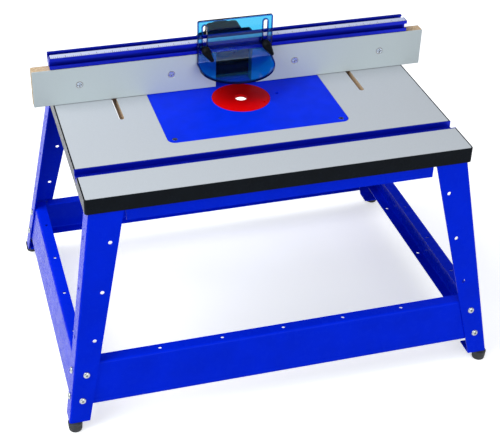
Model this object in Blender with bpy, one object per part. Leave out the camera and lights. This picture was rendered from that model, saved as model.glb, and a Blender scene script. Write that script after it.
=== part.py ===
"""Benchtop router table: a laminated top on four splayed sheet-steel legs, with a sliding fence.

Metres, +Z up, +X to the right, +Y to the back. The origin is on the floor under the table's centre.
"""
import math

import bmesh
import bpy
from mathutils import Vector

# ---------------------------------------------------------------- general
CLEAR = 0.0003            # gap between pieces that touch
SHEET = 0.0023            # thickness of the folded steel sheet
HEAD_SINK = 0.0003        # how far a flat head sits under the face
ROUND_FINE = 32           # sides of large round shapes
ROUND = 12                # sides of bolts
ROUND_SMALL = 8           # sides of small holes

# ---------------------------------------------------------------- table top
TABLE_WIDTH = 0.610
TABLE_DEPTH = 0.406
TABLE_THICK = 0.0254
SURFACE_Z = 0.393
EDGE_THICK = 0.002        # black moulding round the edge
CORNER_R = 0.005

TRACK_FROM_FRONT = 0.0768 # centre of the mitre track, from the front edge
TRACK_WIDTH = 0.024
TRACK_DEPTH = 0.0127
TRACK_SLOT_WIDTH = 0.0193
TRACK_SLOT_DEPTH = 0.0097
TRACK_SCREW_PITCH = 0.138
TRACK_SCREWS = 5
COUNTERSINK_R = 0.0036
SCREW_R = 0.0018

PLATE_WIDTH = 0.2985
PLATE_DEPTH = 0.235
PLATE_THICK = 0.0095
PLATE_Y = 0.042
PLATE_R = 0.012
PLATE_FIT = 0.0005        # gap round the insert plate
LEDGE = 0.010             # ledge that carries the plate
BAY_R = 0.025             # corner radius of the router bay
PLATE_SCREW_INSET = 0.0117
PLATE_SCREW_HEAD_R = 0.0044
PLATE_SCREW_R = 0.0022

RING_R = 0.0485
RING_THICK = 0.005
RING_HOLE_R = 0.010
RING_SEAT = 0.0035        # width of the step under the ring
RING_GAP = 0.0004
SEAT_R = 0.080            # pad under the plate, for the router's base
SEAT_PROUD = 0.0005
SPANNER_R = 0.0016
SPANNER_AT = 0.041
SPANNER_ANGLES = (125, -35)
PIN_HOLE_X = 0.062        # starting-pin hole, from the plate's centre line
PIN_HOLE_R = 0.003

SLOT_X = 0.205            # slots in the table for the fence bolts
SLOT_WIDTH = 0.0085
SLOT_FRONT_Y = 0.017
SLOT_REAR_Y = 0.172

# ---------------------------------------------------------------- stand
LEG_INSET_X = 0.0053      # outer corner of a leg, from the table's side and front
LEG_INSET_Y = 0.0015
LEG_SPLAY_X = 0.057       # how far the corner moves out on its way down
LEG_SPLAY_Y = 0.0545
LEG_BOTTOM_Z = 0.0166
LEG_FRONT_TOP = 0.0528    # width of the flange that faces front or back
LEG_FRONT_BOTTOM = 0.0329
LEG_SIDE_TOP = 0.035      # width of the flange that faces sideways
LEG_SIDE_BOTTOM = 0.028
LEG_HOLE_R = 0.0032
LEG_HOLE_INSET = 0.013    # from the flange's free edge
LEG_HOLE_Z = (0.318, 0.2375, 0.157)
TAB_REACH = 0.030         # folded tabs at the top and bottom of a leg
TAB_SCREW_OUT = 0.014     # screws through the top tab: from the corner, from the flange's free edge,
TAB_SCREW_IN = 0.012      # and from the front
TAB_SCREW_DEEP = 0.018

FOOT_INSET_X = 0.0097     # centre of a foot, from the leg's bottom corner
FOOT_INSET_Y = 0.0055
FOOT_R = 0.012
FOOT_TAPER = 0.0015
FOOT_STEM = 0.006

STRETCHER_TOP_Z = 0.117
STRETCHER_HEIGHT = 0.074
STRETCHER_FLANGE = 0.020
STRETCHER_END = 0.006     # from a leg's corner to the end of a front or rear stretcher
STRETCHER_SIDE_END = 0.003
STRETCHER_HOLE_IN = 0.0115 # holes, from the stretcher's outer face
STRETCHER_HOLE_R = 0.003
FRONT_HOLE_PITCH = 0.1016
SIDE_HOLE_PITCH = 0.1016
BOLT_Z = (0.100, 0.055)   # the two bolts through each leg flange
BOLT_INSET_FRONT = 0.0175 # from the flange's free edge
BOLT_INSET_SIDE = 0.0125
BOLT_R = 0.003
BOLT_HEAD_R = 0.0055
BOLT_HEAD_H = 0.003
NUT_R = 0.0058
NUT_H = 0.005

TOP_RAIL_GAP = 0.0034     # from the end of a top rail to the leg's flange
TOP_RAIL_BACK = 0.0035    # from the leg's corner back to the rail's face
TOP_RAIL_DROP = 0.0211
TOP_RAIL_FLANGE = 0.020
TOP_RAIL_SCREW_PITCH = 0.140
TOP_RAIL_SCREW_IN = 0.012

# ---------------------------------------------------------------- fence
FACING_LENGTH = 0.305
FACING_HEIGHT = 0.0642
FACING_THICK = 0.019
FACING_Y = 0.087          # front face
FACING_GAP = 0.062        # gap for the router bit at rest
FACING_LIFT = 0.0008      # gap between facing and table
FACING_BOLT_IN = 0.076    # first bolt, from the facing's inner end
FACING_BOLT_PITCH = 0.153
FACING_BOLT_Z = 0.0327    # above the table
FACING_HEAD_R = 0.006
FACING_TRAVEL = 0.022
FACING_SLOT_END = 0.003
FACING_SLOT_FIT = 0.001

RAIL_OVERHANG = 0.001     # past each side of the table
RAIL_TOP = 0.084          # above the table
RAIL_BOTTOM = 0.065
RAIL_DEPTH = 0.0295
RAIL_LAND = 0.015         # flat top land that carries the tape
RAIL_MOUTH_LOW = 0.0708   # mouth of the front T-slot
RAIL_MOUTH_HIGH = 0.0786
RAIL_WALL = 0.0023        # over and under the front T-slot
RAIL_LIP = 0.003          # thickness of the T-slot's lips
RAIL_WELL = 0.009         # depth of the T-slot
RAIL_WEB = 0.0035         # between the T-slot and the top slot
RAIL_TOP_LIP = 0.003
RAIL_TOP_WELL = 0.0085
RAIL_REAR_WALL = 0.0025
RAIL_REAR_LIP = 0.005
PLATE_WALL = 0.004        # back plate and foot of the fence
FOOT_REAR_Y = 0.158
DUST_MOUTH_HALF = 0.038
DUST_MOUTH_TOP = 0.056
DUST_MOUTH_R = 0.008
TAPE_THICK = 0.0004
TAPE_WIDTH = 0.0125

CLAMP_Y = 0.140           # bolts that hold the fence to the table
CLAMP_R = 0.003
CLAMP_HEAD_R = 0.0058
CLAMP_KNOB_R = 0.0155
CLAMP_KNOB_H = 0.020
FACING_KNOB_R = 0.0125
FACING_KNOB_H = 0.014
WASHER_R = 0.009
WASHER_H = 0.0015

HOOD_HALF = 0.050
HOOD_REAR_Y = 0.150
HOOD_TOP = 0.0765
HOOD_STEP_R = 0.004
HOOD_REAR_R = 0.010
HOOD_REAR_CUT = 0.003
HOOD_SIDE_R = 0.008
HOOD_WALL = 0.004
COLLAR_HALF = 0.029       # square collar between the hood and the round port
COLLAR_LOW = 0.012
COLLAR_TOP = 0.081
COLLAR_R = 0.008
COLLAR_REAR_Y = 0.168
PORT_R = 0.0285
PORT_WALL = 0.003
PORT_RISE = 0.003
PORT_REAR_Y = 0.182

# ---------------------------------------------------------------- guard
GUARD_HALF = 0.064
GUARD_THICK = 0.003
GUARD_GAP = 0.0006        # from the rail's face
GUARD_TOP = 0.1245        # above the table
GUARD_FOLD = 0.050
GUARD_FRONT_Y = 0.020
GUARD_FRONT_Z = 0.040
GUARD_SLOT_FIT = 0.0007
GUARD_SLOT_X = 0.0515
GUARD_SLOT_W = 0.007
GUARD_SLOT_TOP = 0.116
GUARD_BORDER = 0.002
GUARD_BORDER_H = 0.001
LEVER_REACH = 0.022
LEVER_R = 0.0072
LEVER_TIP_R = 0.003
LEVER_DEPTH = 0.015
LEVER_TURN = 30           # degrees from straight down
VISOR_SHOULDER = 0.016    # straight sides of the visor before its round front
GUARD_BOLT_HEAD_R = 0.0055
GUARD_BOLT_HEAD_H = 0.004

# ---------------------------------------------------------------- worked out
UNDER_Z = SURFACE_Z - TABLE_THICK
TRACK_Y = TRACK_FROM_FRONT - TABLE_DEPTH / 2
LEG_TOP_X = TABLE_WIDTH / 2 - LEG_INSET_X
LEG_TOP_Y = TABLE_DEPTH / 2 - LEG_INSET_Y
FOOT_X = LEG_TOP_X + LEG_SPLAY_X - FOOT_INSET_X
FOOT_Y = LEG_TOP_Y + LEG_SPLAY_Y - FOOT_INSET_Y
TOP_RAIL_HALF = LEG_TOP_X - LEG_FRONT_TOP - TOP_RAIL_GAP
TOP_RAIL_Y = LEG_TOP_Y - TOP_RAIL_BACK
RAIL_LENGTH = TABLE_WIDTH + 2 * RAIL_OVERHANG
LEG_TOP_Z = UNDER_Z - CLEAR
RAIL_REAR_Y = FACING_Y + RAIL_DEPTH
BACK_PLATE_Y = FACING_Y + FACING_THICK + CLEAR
GUARD_Y = FACING_Y - GUARD_GAP
MOUTH_Z = (RAIL_MOUTH_LOW + RAIL_MOUTH_HIGH) / 2
GUARD_SLOT_BOTTOM = MOUTH_Z - BOLT_R - GUARD_SLOT_FIT
FOOT_TOP_Z = CLEAR + PLATE_WALL
PORT_Z = (COLLAR_LOW + COLLAR_TOP) / 2 + PORT_RISE

# how far the cutting shapes run past what they cut
PAST = 0.010
PAST_SHEET = 0.006
PAST_FLANGE = 0.008
PAST_BOLT_IN = 0.009
PAST_BOLT_OUT = 0.002


# ---------------------------------------------------------------- tools

def material(name, colour, roughness, metallic=0.0, alpha=1.0):
    """A Principled material."""
    made = bpy.data.materials.new(name)
    made.use_nodes = True
    shader = made.node_tree.nodes["Principled BSDF"]
    shader.inputs["Base Color"].default_value = (*colour, 1.0)
    shader.inputs["Roughness"].default_value = roughness
    shader.inputs["Metallic"].default_value = metallic
    shader.inputs["Alpha"].default_value = alpha
    return made


def new_object(name, mesh_builder, look=None):
    """Turn a bmesh into an object with its faces pointing out."""
    bmesh.ops.recalc_face_normals(mesh_builder, faces=mesh_builder.faces)
    mesh = bpy.data.meshes.new(name)
    mesh_builder.to_mesh(mesh)
    mesh_builder.free()
    made = bpy.data.objects.new(name, mesh)
    bpy.context.scene.collection.objects.link(made)
    if look:
        mesh.materials.append(look)
    return made


def at(axis, along, a, b):
    """A point from its place along one axis and the two others in X, Y, Z order."""
    if axis == "X":
        return Vector((along, a, b))
    if axis == "Y":
        return Vector((a, along, b))
    return Vector((a, b, along))


def loft(builder, low, high):
    """Close the space between two matching loops of points."""
    first = [builder.verts.new(p) for p in low]
    second = [builder.verts.new(p) for p in high]
    builder.faces.new(first)
    builder.faces.new(second)
    count = len(first)
    for i in range(count):
        j = (i + 1) % count
        builder.faces.new((first[i], first[j], second[j], second[i]))


def prism(builder, axis, outline, low, high):
    """Run a flat outline along an axis from low to high."""
    loft(builder, [at(axis, low, *p) for p in outline], [at(axis, high, *p) for p in outline])


def box(builder, x, y, z):
    """A box from three (low, high) spans."""
    prism(builder, "Z", [(x[0], y[0]), (x[1], y[0]), (x[1], y[1]), (x[0], y[1])], *z)


def turned(builder, profile, place, direction, sides=ROUND):
    """Turn (radius, height) points round a line; a profile that starts off the line closes on itself."""
    axis = Vector(direction).normalized()
    frame = axis.to_track_quat("Z", "Y").to_matrix().to_4x4()
    frame.translation = Vector(place)
    rings = []
    for radius, height in profile:
        if radius == 0:
            rings.append([builder.verts.new(frame @ Vector((0, 0, height)))])
            continue
        ring = []
        for i in range(sides):
            angle = 2 * math.pi * (i + 0.5) / sides
            spot = Vector((radius * math.cos(angle), radius * math.sin(angle), height))
            ring.append(builder.verts.new(frame @ spot))
        rings.append(ring)
    pairs = list(zip(rings, rings[1:]))
    if profile[0][0] > 0:
        pairs.append((rings[-1], rings[0]))
    for one, two in pairs:
        for i in range(sides):
            j = (i + 1) % sides
            corners = [one[i % len(one)], one[j % len(one)], two[j % len(two)], two[i % len(two)]]
            builder.faces.new(list(dict.fromkeys(corners)))


def rod(builder, place, direction, radius, low, high, sides=ROUND):
    """A plain cylinder between two heights along its line."""
    turned(builder, [(0, low), (radius, low), (radius, high), (0, high)], place, direction, sides)


def round_box(width, depth, radius, centre=(0.0, 0.0), steps=3):
    """Outline of a rectangle with round corners."""
    points = []
    for turn, (sx, sy) in enumerate([(1, 1), (-1, 1), (-1, -1), (1, -1)]):
        cx = centre[0] + sx * (width / 2 - radius)
        cy = centre[1] + sy * (depth / 2 - radius)
        for i in range(steps + 1):
            angle = math.pi / 2 * (turn + i / steps)
            points.append((cx + radius * math.cos(angle), cy + radius * math.sin(angle)))
    return points


def slot_outline(centre, length, width, along="x", steps=4):
    """Outline of a slot with round ends."""
    points = []
    reach = (length - width) / 2
    for end in (1, -1):
        for i in range(steps + 1):
            angle = math.pi * (i / steps - 0.5) + (0 if end == 1 else math.pi)
            u = end * reach + width / 2 * math.cos(angle)
            v = width / 2 * math.sin(angle)
            points.append((centre[0] + u, centre[1] + v) if along == "x" else (centre[0] - v, centre[1] + u))
    return points


def lobed(radius, lobes=5, dip=0.16, sides=20):
    """Outline of a hand knob."""
    points = []
    for i in range(sides):
        angle = 2 * math.pi * i / sides
        r = radius * (1 - dip / 2 + dip / 2 * math.cos(lobes * angle))
        points.append((r * math.cos(angle), r * math.sin(angle)))
    return points


def cut(body, builder, operation="DIFFERENCE"):
    """Take a tool shape away from a body, or join it on."""
    tool = new_object(body.name + "_tool", builder)
    tool.hide_render = True
    tool.display_type = "WIRE"
    step = body.modifiers.new("shape", "BOOLEAN")
    step.operation = operation
    step.solver = "EXACT"
    step.object = tool


def join(body, builder):
    """Join a shape to a body."""
    cut(body, builder, "UNION")


def smooth(body, angle=40):
    """Shade a round piece smooth, with its edges kept."""
    body.data.shade_smooth()
    body.data.set_sharp_from_angle(angle=math.radians(angle))


def countersunk(builder, place, direction, head_r, shank_r, length, sides=ROUND):
    """Flat-head screw; place is on the work's face, direction points into the work."""
    cone = HEAD_SINK + head_r - shank_r
    turned(builder, [(0, HEAD_SINK), (head_r, HEAD_SINK), (shank_r, cone), (shank_r, length), (0, length)],
           place, direction, sides)


def countersink(builder, place, direction, head_r, shank_r, depth, sides=ROUND):
    """The hole that such a screw sits in."""
    cone = HEAD_SINK + head_r - shank_r
    turned(builder, [(0, -0.002), (head_r + CLEAR, -0.002), (head_r + CLEAR, HEAD_SINK),
                     (shank_r + CLEAR, cone), (shank_r + CLEAR, depth), (0, depth)],
           place, direction, sides)


# ---------------------------------------------------------------- looks
def make_looks():
    """Every material of the table."""
    return {
        "laminate": material("laminate", (0.60, 0.64, 0.66), 0.45),
        "edge_black": material("edge_black", (0.01, 0.01, 0.012), 0.25),
        "blue_anodised": material("blue_anodised", (0.005, 0.02, 0.55), 0.35, 0.6),
        "blue_plate": material("blue_plate", (0.005, 0.03, 0.62), 0.45),
        "blue_paint": material("blue_paint", (0.004, 0.02, 0.68), 0.35),
        "ring_red": material("ring_red", (0.55, 0.01, 0.012), 0.5),
        "facing": material("facing", (0.50, 0.53, 0.55), 0.45),
        "guard_blue": material("guard_blue", (0.02, 0.22, 0.75), 0.08, 0.0, 0.45),
        "black_plastic": material("black_plastic", (0.012, 0.012, 0.014), 0.4),
        "rubber": material("rubber", (0.015, 0.016, 0.018), 0.7),
        "zinc": material("zinc", (0.62, 0.63, 0.65), 0.3, 1.0),
        "tape": material("tape", (0.80, 0.80, 0.85), 0.4),
    }


# ---------------------------------------------------------------- table top
def track_screw_places():
    """Centres of the mitre track's screws."""
    first = -TRACK_SCREW_PITCH * (TRACK_SCREWS - 1) / 2
    return [first + i * TRACK_SCREW_PITCH for i in range(TRACK_SCREWS)]


def plate_screw_places():
    """Centres of the insert plate's corner screws."""
    dx = PLATE_WIDTH / 2 - PLATE_SCREW_INSET
    dy = PLATE_DEPTH / 2 - PLATE_SCREW_INSET
    return [(sx * dx, PLATE_Y + sy * dy) for sx in (-1, 1) for sy in (-1, 1)]


def make_table_top(looks):
    """Laminated board with the router bay, the mitre groove and the fence slots."""
    core_w = TABLE_WIDTH - 2 * EDGE_THICK - 2 * CLEAR
    core_d = TABLE_DEPTH - 2 * EDGE_THICK - 2 * CLEAR
    b = bmesh.new()
    prism(b, "Z", round_box(core_w, core_d, CORNER_R - EDGE_THICK), UNDER_Z, SURFACE_Z)
    top = new_object("table_top", b, looks["laminate"])

    recess_z = SURFACE_Z - PLATE_THICK - CLEAR
    b = bmesh.new()
    prism(b, "Z", round_box(PLATE_WIDTH + 2 * PLATE_FIT, PLATE_DEPTH + 2 * PLATE_FIT,
                            PLATE_R + PLATE_FIT, (0, PLATE_Y)), recess_z, SURFACE_Z + PAST)
    cut(top, b)
    b = bmesh.new()
    prism(b, "Z", round_box(PLATE_WIDTH + 2 * PLATE_FIT - 2 * LEDGE, PLATE_DEPTH + 2 * PLATE_FIT - 2 * LEDGE,
                            BAY_R, (0, PLATE_Y)), UNDER_Z - PAST, SURFACE_Z)
    cut(top, b)

    groove = TRACK_WIDTH / 2 + CLEAR
    b = bmesh.new()
    box(b, (-TABLE_WIDTH, TABLE_WIDTH), (TRACK_Y - groove, TRACK_Y + groove),
        (SURFACE_Z - TRACK_DEPTH - CLEAR, SURFACE_Z + PAST))
    for sx in (-1, 1):
        middle = (SLOT_FRONT_Y + SLOT_REAR_Y) / 2
        prism(b, "Z", slot_outline((sx * SLOT_X, middle), SLOT_REAR_Y - SLOT_FRONT_Y, SLOT_WIDTH, "y"),
              UNDER_Z - PAST, SURFACE_Z + PAST)
    cut(top, b)


def make_edge_band(looks):
    """Black moulding round the board, open at both ends of the mitre track."""
    b = bmesh.new()
    prism(b, "Z", round_box(TABLE_WIDTH, TABLE_DEPTH, CORNER_R), UNDER_Z, SURFACE_Z)
    band = new_object("edge_band", b, looks["edge_black"])
    b = bmesh.new()
    prism(b, "Z", round_box(TABLE_WIDTH - 2 * EDGE_THICK, TABLE_DEPTH - 2 * EDGE_THICK,
                            CORNER_R - EDGE_THICK), UNDER_Z - PAST, SURFACE_Z + PAST)
    cut(band, b)
    groove = TRACK_WIDTH / 2 + CLEAR
    b = bmesh.new()
    box(b, (-TABLE_WIDTH, TABLE_WIDTH), (TRACK_Y - groove, TRACK_Y + groove),
        (SURFACE_Z - TRACK_DEPTH - CLEAR, SURFACE_Z + PAST))
    cut(band, b)


def make_mitre_track(looks):
    """Anodised channel let into the board, with countersunk holes in its floor."""
    half, inner = TRACK_WIDTH / 2, TRACK_SLOT_WIDTH / 2
    low, floor = SURFACE_Z - TRACK_DEPTH, SURFACE_Z - TRACK_SLOT_DEPTH
    outline = [(TRACK_Y - half, low), (TRACK_Y + half, low), (TRACK_Y + half, SURFACE_Z),
               (TRACK_Y + inner, SURFACE_Z), (TRACK_Y + inner, floor), (TRACK_Y - inner, floor),
               (TRACK_Y - inner, SURFACE_Z), (TRACK_Y - half, SURFACE_Z)]
    b = bmesh.new()
    prism(b, "X", outline, -TABLE_WIDTH / 2, TABLE_WIDTH / 2)
    track = new_object("mitre_track", b, looks["blue_anodised"])
    b = bmesh.new()
    for x in track_screw_places():
        countersink(b, (x, TRACK_Y, floor), (0, 0, -1), COUNTERSINK_R, SCREW_R, PAST, ROUND_SMALL)
    cut(track, b)


def make_insert_plate(looks):
    """Blue plate that carries the router, and the red reducer ring that sits in it."""
    low = SURFACE_Z - PLATE_THICK
    b = bmesh.new()
    prism(b, "Z", round_box(PLATE_WIDTH, PLATE_DEPTH, PLATE_R, (0, PLATE_Y)), low, SURFACE_Z)
    plate = new_object("insert_plate", b, looks["blue_plate"])
    b = bmesh.new()
    rod(b, (0, PLATE_Y, 0), (0, 0, 1), RING_R + RING_GAP, SURFACE_Z - RING_THICK - CLEAR, SURFACE_Z + PAST,
        ROUND_FINE)
    for x, y in plate_screw_places():
        countersink(b, (x, y, SURFACE_Z), (0, 0, -1), PLATE_SCREW_HEAD_R, PLATE_SCREW_R, 2 * PAST, ROUND)
    cut(plate, b)
    b = bmesh.new()
    rod(b, (0, PLATE_Y, 0), (0, 0, 1), SEAT_R, low - SEAT_PROUD, low + PLATE_THICK / 4, ROUND_FINE)
    join(plate, b)
    b = bmesh.new()
    rod(b, (0, PLATE_Y, 0), (0, 0, 1), RING_R - RING_SEAT, low - PAST, SURFACE_Z, ROUND_FINE)
    rod(b, (PIN_HOLE_X, PLATE_Y, 0), (0, 0, 1), PIN_HOLE_R, low - PAST, SURFACE_Z + PAST, ROUND)
    cut(plate, b)

    b = bmesh.new()
    turned(b, [(RING_HOLE_R, -RING_THICK), (RING_R, -RING_THICK), (RING_R, 0), (RING_HOLE_R, 0)],
           (0, PLATE_Y, SURFACE_Z), (0, 0, 1), ROUND_FINE)
    ring = new_object("reducer_ring", b, looks["ring_red"])
    b = bmesh.new()
    for angle in SPANNER_ANGLES:
        spot = (SPANNER_AT * math.cos(math.radians(angle)),
                PLATE_Y + SPANNER_AT * math.sin(math.radians(angle)), SURFACE_Z)
        rod(b, spot, (0, 0, 1), SPANNER_R, -RING_THICK - PAST, PAST, ROUND_SMALL)
    cut(ring, b)


# ---------------------------------------------------------------- stand
def corner(z):
    """Half spans of the legs' outer corners at a height."""
    t = (LEG_TOP_Z - z) / (LEG_TOP_Z - LEG_BOTTOM_Z)
    return LEG_TOP_X + t * LEG_SPLAY_X, LEG_TOP_Y + t * LEG_SPLAY_Y


def flange_widths(z):
    """Widths of a leg's front and side flanges at a height."""
    t = (LEG_TOP_Z - z) / (LEG_TOP_Z - LEG_BOTTOM_Z)
    return (LEG_FRONT_TOP + t * (LEG_FRONT_BOTTOM - LEG_FRONT_TOP),
            LEG_SIDE_TOP + t * (LEG_SIDE_BOTTOM - LEG_SIDE_TOP))


def front_normal(sy):
    """Outward normal of the front and rear flanges."""
    return Vector((0, sy * (LEG_TOP_Z - LEG_BOTTOM_Z), LEG_SPLAY_Y)).normalized()


def side_normal(sx):
    """Outward normal of the side flanges."""
    return Vector((sx * (LEG_TOP_Z - LEG_BOTTOM_Z), 0, LEG_SPLAY_X)).normalized()


def front_spot(sx, sy, z, inset):
    """A point on a front or rear flange's outer face, from its free edge."""
    cx, cy = corner(z)
    return Vector((sx * (cx - flange_widths(z)[0] + inset), sy * cy, z))


def side_spot(sx, sy, z, inset):
    """A point on a side flange's outer face, from its free edge."""
    cx, cy = corner(z)
    return Vector((sx * cx, sy * (cy - flange_widths(z)[1] + inset), z))


def bolt_places(sx, sy):
    """Centre and outward direction of the four bolts between one leg and its stretchers."""
    front = [(front_spot(sx, sy, z, BOLT_INSET_FRONT), front_normal(sy)) for z in BOLT_Z]
    side = [(side_spot(sx, sy, z, BOLT_INSET_SIDE), side_normal(sx)) for z in BOLT_Z]
    return front, side


def leg_screw_places():
    """Screws through a leg's top tab into the board."""
    places = []
    for sx in (-1, 1):
        for sy in (-1, 1):
            for dx in (TAB_SCREW_OUT, LEG_FRONT_TOP - TAB_SCREW_IN):
                places.append((sx * (LEG_TOP_X - dx), sy * (LEG_TOP_Y - TAB_SCREW_DEEP)))
    return places


def rail_screw_places():
    """Screws through the top rails' flanges into the board."""
    return [(i * TOP_RAIL_SCREW_PITCH, sy * (TOP_RAIL_Y - TOP_RAIL_SCREW_IN))
            for i in (-1.5, -0.5, 0.5, 1.5) for sy in (-1, 1)]


def leg_loop(z, sx, sy):
    """The angle section of a leg at a height."""
    cx, cy = corner(z)
    front, side = flange_widths(z)
    inner = [(cx, cy), (cx - front, cy), (cx - front, cy - SHEET), (cx - SHEET, cy - SHEET),
             (cx - SHEET, cy - side), (cx, cy - side)]
    return [(sx * x, sy * y, z) for x, y in inner]


def make_leg(name, sx, sy, looks):
    """Folded leg with a tab under the board and a tab over the foot."""
    b = bmesh.new()
    loft(b, leg_loop(LEG_BOTTOM_Z, sx, sy), leg_loop(LEG_TOP_Z, sx, sy))
    leg = new_object(name, b, looks["blue_paint"])

    half = SHEET / 2
    for z, width in ((LEG_TOP_Z, LEG_FRONT_TOP), (LEG_BOTTOM_Z + SHEET, LEG_FRONT_BOTTOM)):
        cx, cy = corner(z)
        b = bmesh.new()
        across = sorted((sx * (cx - half), sx * (cx - width)))
        box(b, across, sorted((sy * (cy - half), sy * (cy - TAB_REACH))), (z - SHEET, z))
        join(leg, b)

    b = bmesh.new()
    for z in LEG_HOLE_Z:
        rod(b, front_spot(sx, sy, z, LEG_HOLE_INSET), front_normal(sy), LEG_HOLE_R, -PAST_FLANGE, PAST_FLANGE,
            ROUND_SMALL)
        rod(b, side_spot(sx, sy, z, LEG_HOLE_INSET), side_normal(sx), LEG_HOLE_R, -PAST_FLANGE, PAST_FLANGE,
            ROUND_SMALL)
    front, side = bolt_places(sx, sy)
    for spot, direction in front + side:
        rod(b, spot, direction, BOLT_R + CLEAR, -PAST_SHEET, PAST_SHEET, ROUND_SMALL)
    for x, y in leg_screw_places():
        if x * sx > 0 and y * sy > 0:
            rod(b, (x, y, LEG_TOP_Z), (0, 0, 1), SCREW_R + CLEAR, -PAST_SHEET, PAST_SHEET, ROUND_SMALL)
    rod(b, (sx * FOOT_X, sy * FOOT_Y, LEG_BOTTOM_Z), (0, 0, 1), BOLT_R, -PAST_SHEET, PAST_SHEET, ROUND_SMALL)
    cut(leg, b)


def make_foot(name, sx, sy, looks):
    """Rubber foot with a stem pushed up through the leg's bottom tab."""
    high = LEG_BOTTOM_Z - CLEAR
    stem = BOLT_R - CLEAR
    b = bmesh.new()
    turned(b, [(0, 0), (FOOT_R - FOOT_TAPER, 0), (FOOT_R, high), (stem, high), (stem, high + FOOT_STEM),
               (0, high + FOOT_STEM)], (sx * FOOT_X, sy * FOOT_Y, 0), (0, 0, 1), 16)
    smooth(new_object(name, b, looks["rubber"]))


def make_front_stretcher(name, sy, looks):
    """Lower channel between two front or two rear legs."""
    top_z, low_z = STRETCHER_TOP_Z, STRETCHER_TOP_Z - STRETCHER_HEIGHT
    half = corner(top_z)[0] - STRETCHER_END
    flange_half = corner(top_z)[0] - 2 * SHEET - CLEAR - STRETCHER_FLANGE - STRETCHER_SIDE_END

    def face(z):
        return corner(z)[1] - SHEET - CLEAR

    web = [(sy * face(low_z), low_z), (sy * face(top_z), top_z),
           (sy * (face(top_z) - SHEET), top_z), (sy * (face(low_z) - SHEET), low_z)]
    b = bmesh.new()
    prism(b, "X", web, -half, half)
    stretcher = new_object(name, b, looks["blue_paint"])
    for z in (top_z, low_z + SHEET):
        outer = face(z) - SHEET / 2
        b = bmesh.new()
        across = sorted((sy * outer, sy * (face(z) - STRETCHER_FLANGE)))
        box(b, (-flange_half, flange_half), across, (z - SHEET, z))
        join(stretcher, b)
    b = bmesh.new()
    for i in range(-2, 3):
        spot = (i * FRONT_HOLE_PITCH, sy * (face(top_z) - STRETCHER_HOLE_IN), top_z)
        rod(b, spot, (0, 0, 1), STRETCHER_HOLE_R, -PAST_SHEET, PAST_SHEET, ROUND_SMALL)
    for sx in (-1, 1):
        for spot, direction in bolt_places(sx, sy)[0]:
            rod(b, spot, direction, BOLT_R + CLEAR, -PAST_BOLT_IN, PAST_BOLT_OUT, ROUND_SMALL)
    cut(stretcher, b)


def make_side_stretcher(name, sx, looks):
    """Lower channel between a front leg and a rear leg."""
    top_z, low_z = STRETCHER_TOP_Z, STRETCHER_TOP_Z - STRETCHER_HEIGHT
    half = corner(top_z)[1] - 2 * SHEET - CLEAR - STRETCHER_SIDE_END

    def face(z):
        return corner(z)[0] - SHEET - CLEAR

    outline = [(sx * face(low_z), low_z), (sx * face(top_z), top_z),
               (sx * (face(top_z) - STRETCHER_FLANGE), top_z),
               (sx * (face(top_z) - STRETCHER_FLANGE), top_z - SHEET),
               (sx * (face(top_z - SHEET) - SHEET), top_z - SHEET),
               (sx * (face(low_z + SHEET) - SHEET), low_z + SHEET),
               (sx * (face(low_z) - STRETCHER_FLANGE), low_z + SHEET),
               (sx * (face(low_z) - STRETCHER_FLANGE), low_z)]
    b = bmesh.new()
    prism(b, "Y", outline, -half, half)
    stretcher = new_object(name, b, looks["blue_paint"])
    b = bmesh.new()
    for i in (-1.5, -0.5, 0.5, 1.5):
        spot = (sx * (face(top_z) - STRETCHER_HOLE_IN), i * SIDE_HOLE_PITCH, top_z)
        rod(b, spot, (0, 0, 1), STRETCHER_HOLE_R, -PAST_SHEET, PAST_SHEET, ROUND_SMALL)
    for i in (-1.5, 0, 1.5):
        spot = (sx * (face(low_z) - STRETCHER_HOLE_IN), i * SIDE_HOLE_PITCH, low_z)
        rod(b, spot, (0, 0, 1), STRETCHER_HOLE_R, -PAST_SHEET, PAST_SHEET, ROUND_SMALL)
    for sy in (-1, 1):
        for spot, direction in bolt_places(sx, sy)[1]:
            rod(b, spot, direction, BOLT_R + CLEAR, -PAST_BOLT_IN, PAST_BOLT_OUT, ROUND_SMALL)
    cut(stretcher, b)


def make_stretcher_bolts(name, sx, sy, looks):
    """The four bolts of one leg, each with its nut run up tight as one piece."""
    grip = 2 * SHEET + 2 * CLEAR
    profile = [(0, BOLT_HEAD_H), (BOLT_HEAD_R * 0.7, BOLT_HEAD_H), (BOLT_HEAD_R, CLEAR), (BOLT_R, CLEAR),
               (BOLT_R, -grip), (NUT_R, -grip), (NUT_R, -grip - NUT_H), (0, -grip - NUT_H)]
    front, side = bolt_places(sx, sy)
    for number, (spot, direction) in enumerate(front + side, 1):
        b = bmesh.new()
        turned(b, profile, spot, direction, ROUND_SMALL)
        smooth(new_object(f"{name}_{number}", b, looks["zinc"]))


def make_top_rail(name, sy, looks):
    """Folded angle that stiffens the board's front or rear edge."""
    y, top_z = TOP_RAIL_Y, LEG_TOP_Z
    outline = [(sy * y, top_z - TOP_RAIL_DROP), (sy * y, top_z), (sy * (y - TOP_RAIL_FLANGE), top_z),
               (sy * (y - TOP_RAIL_FLANGE), top_z - SHEET), (sy * (y - SHEET), top_z - SHEET),
               (sy * (y - SHEET), top_z - TOP_RAIL_DROP)]
    b = bmesh.new()
    prism(b, "X", outline, -TOP_RAIL_HALF, TOP_RAIL_HALF)
    rail = new_object(name, b, looks["blue_paint"])
    b = bmesh.new()
    for x, place_y in rail_screw_places():
        if place_y * sy > 0:
            rod(b, (x, place_y, top_z), (0, 0, 1), SCREW_R + CLEAR, -PAST_SHEET, PAST_SHEET, ROUND_SMALL)
    cut(rail, b)


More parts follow.
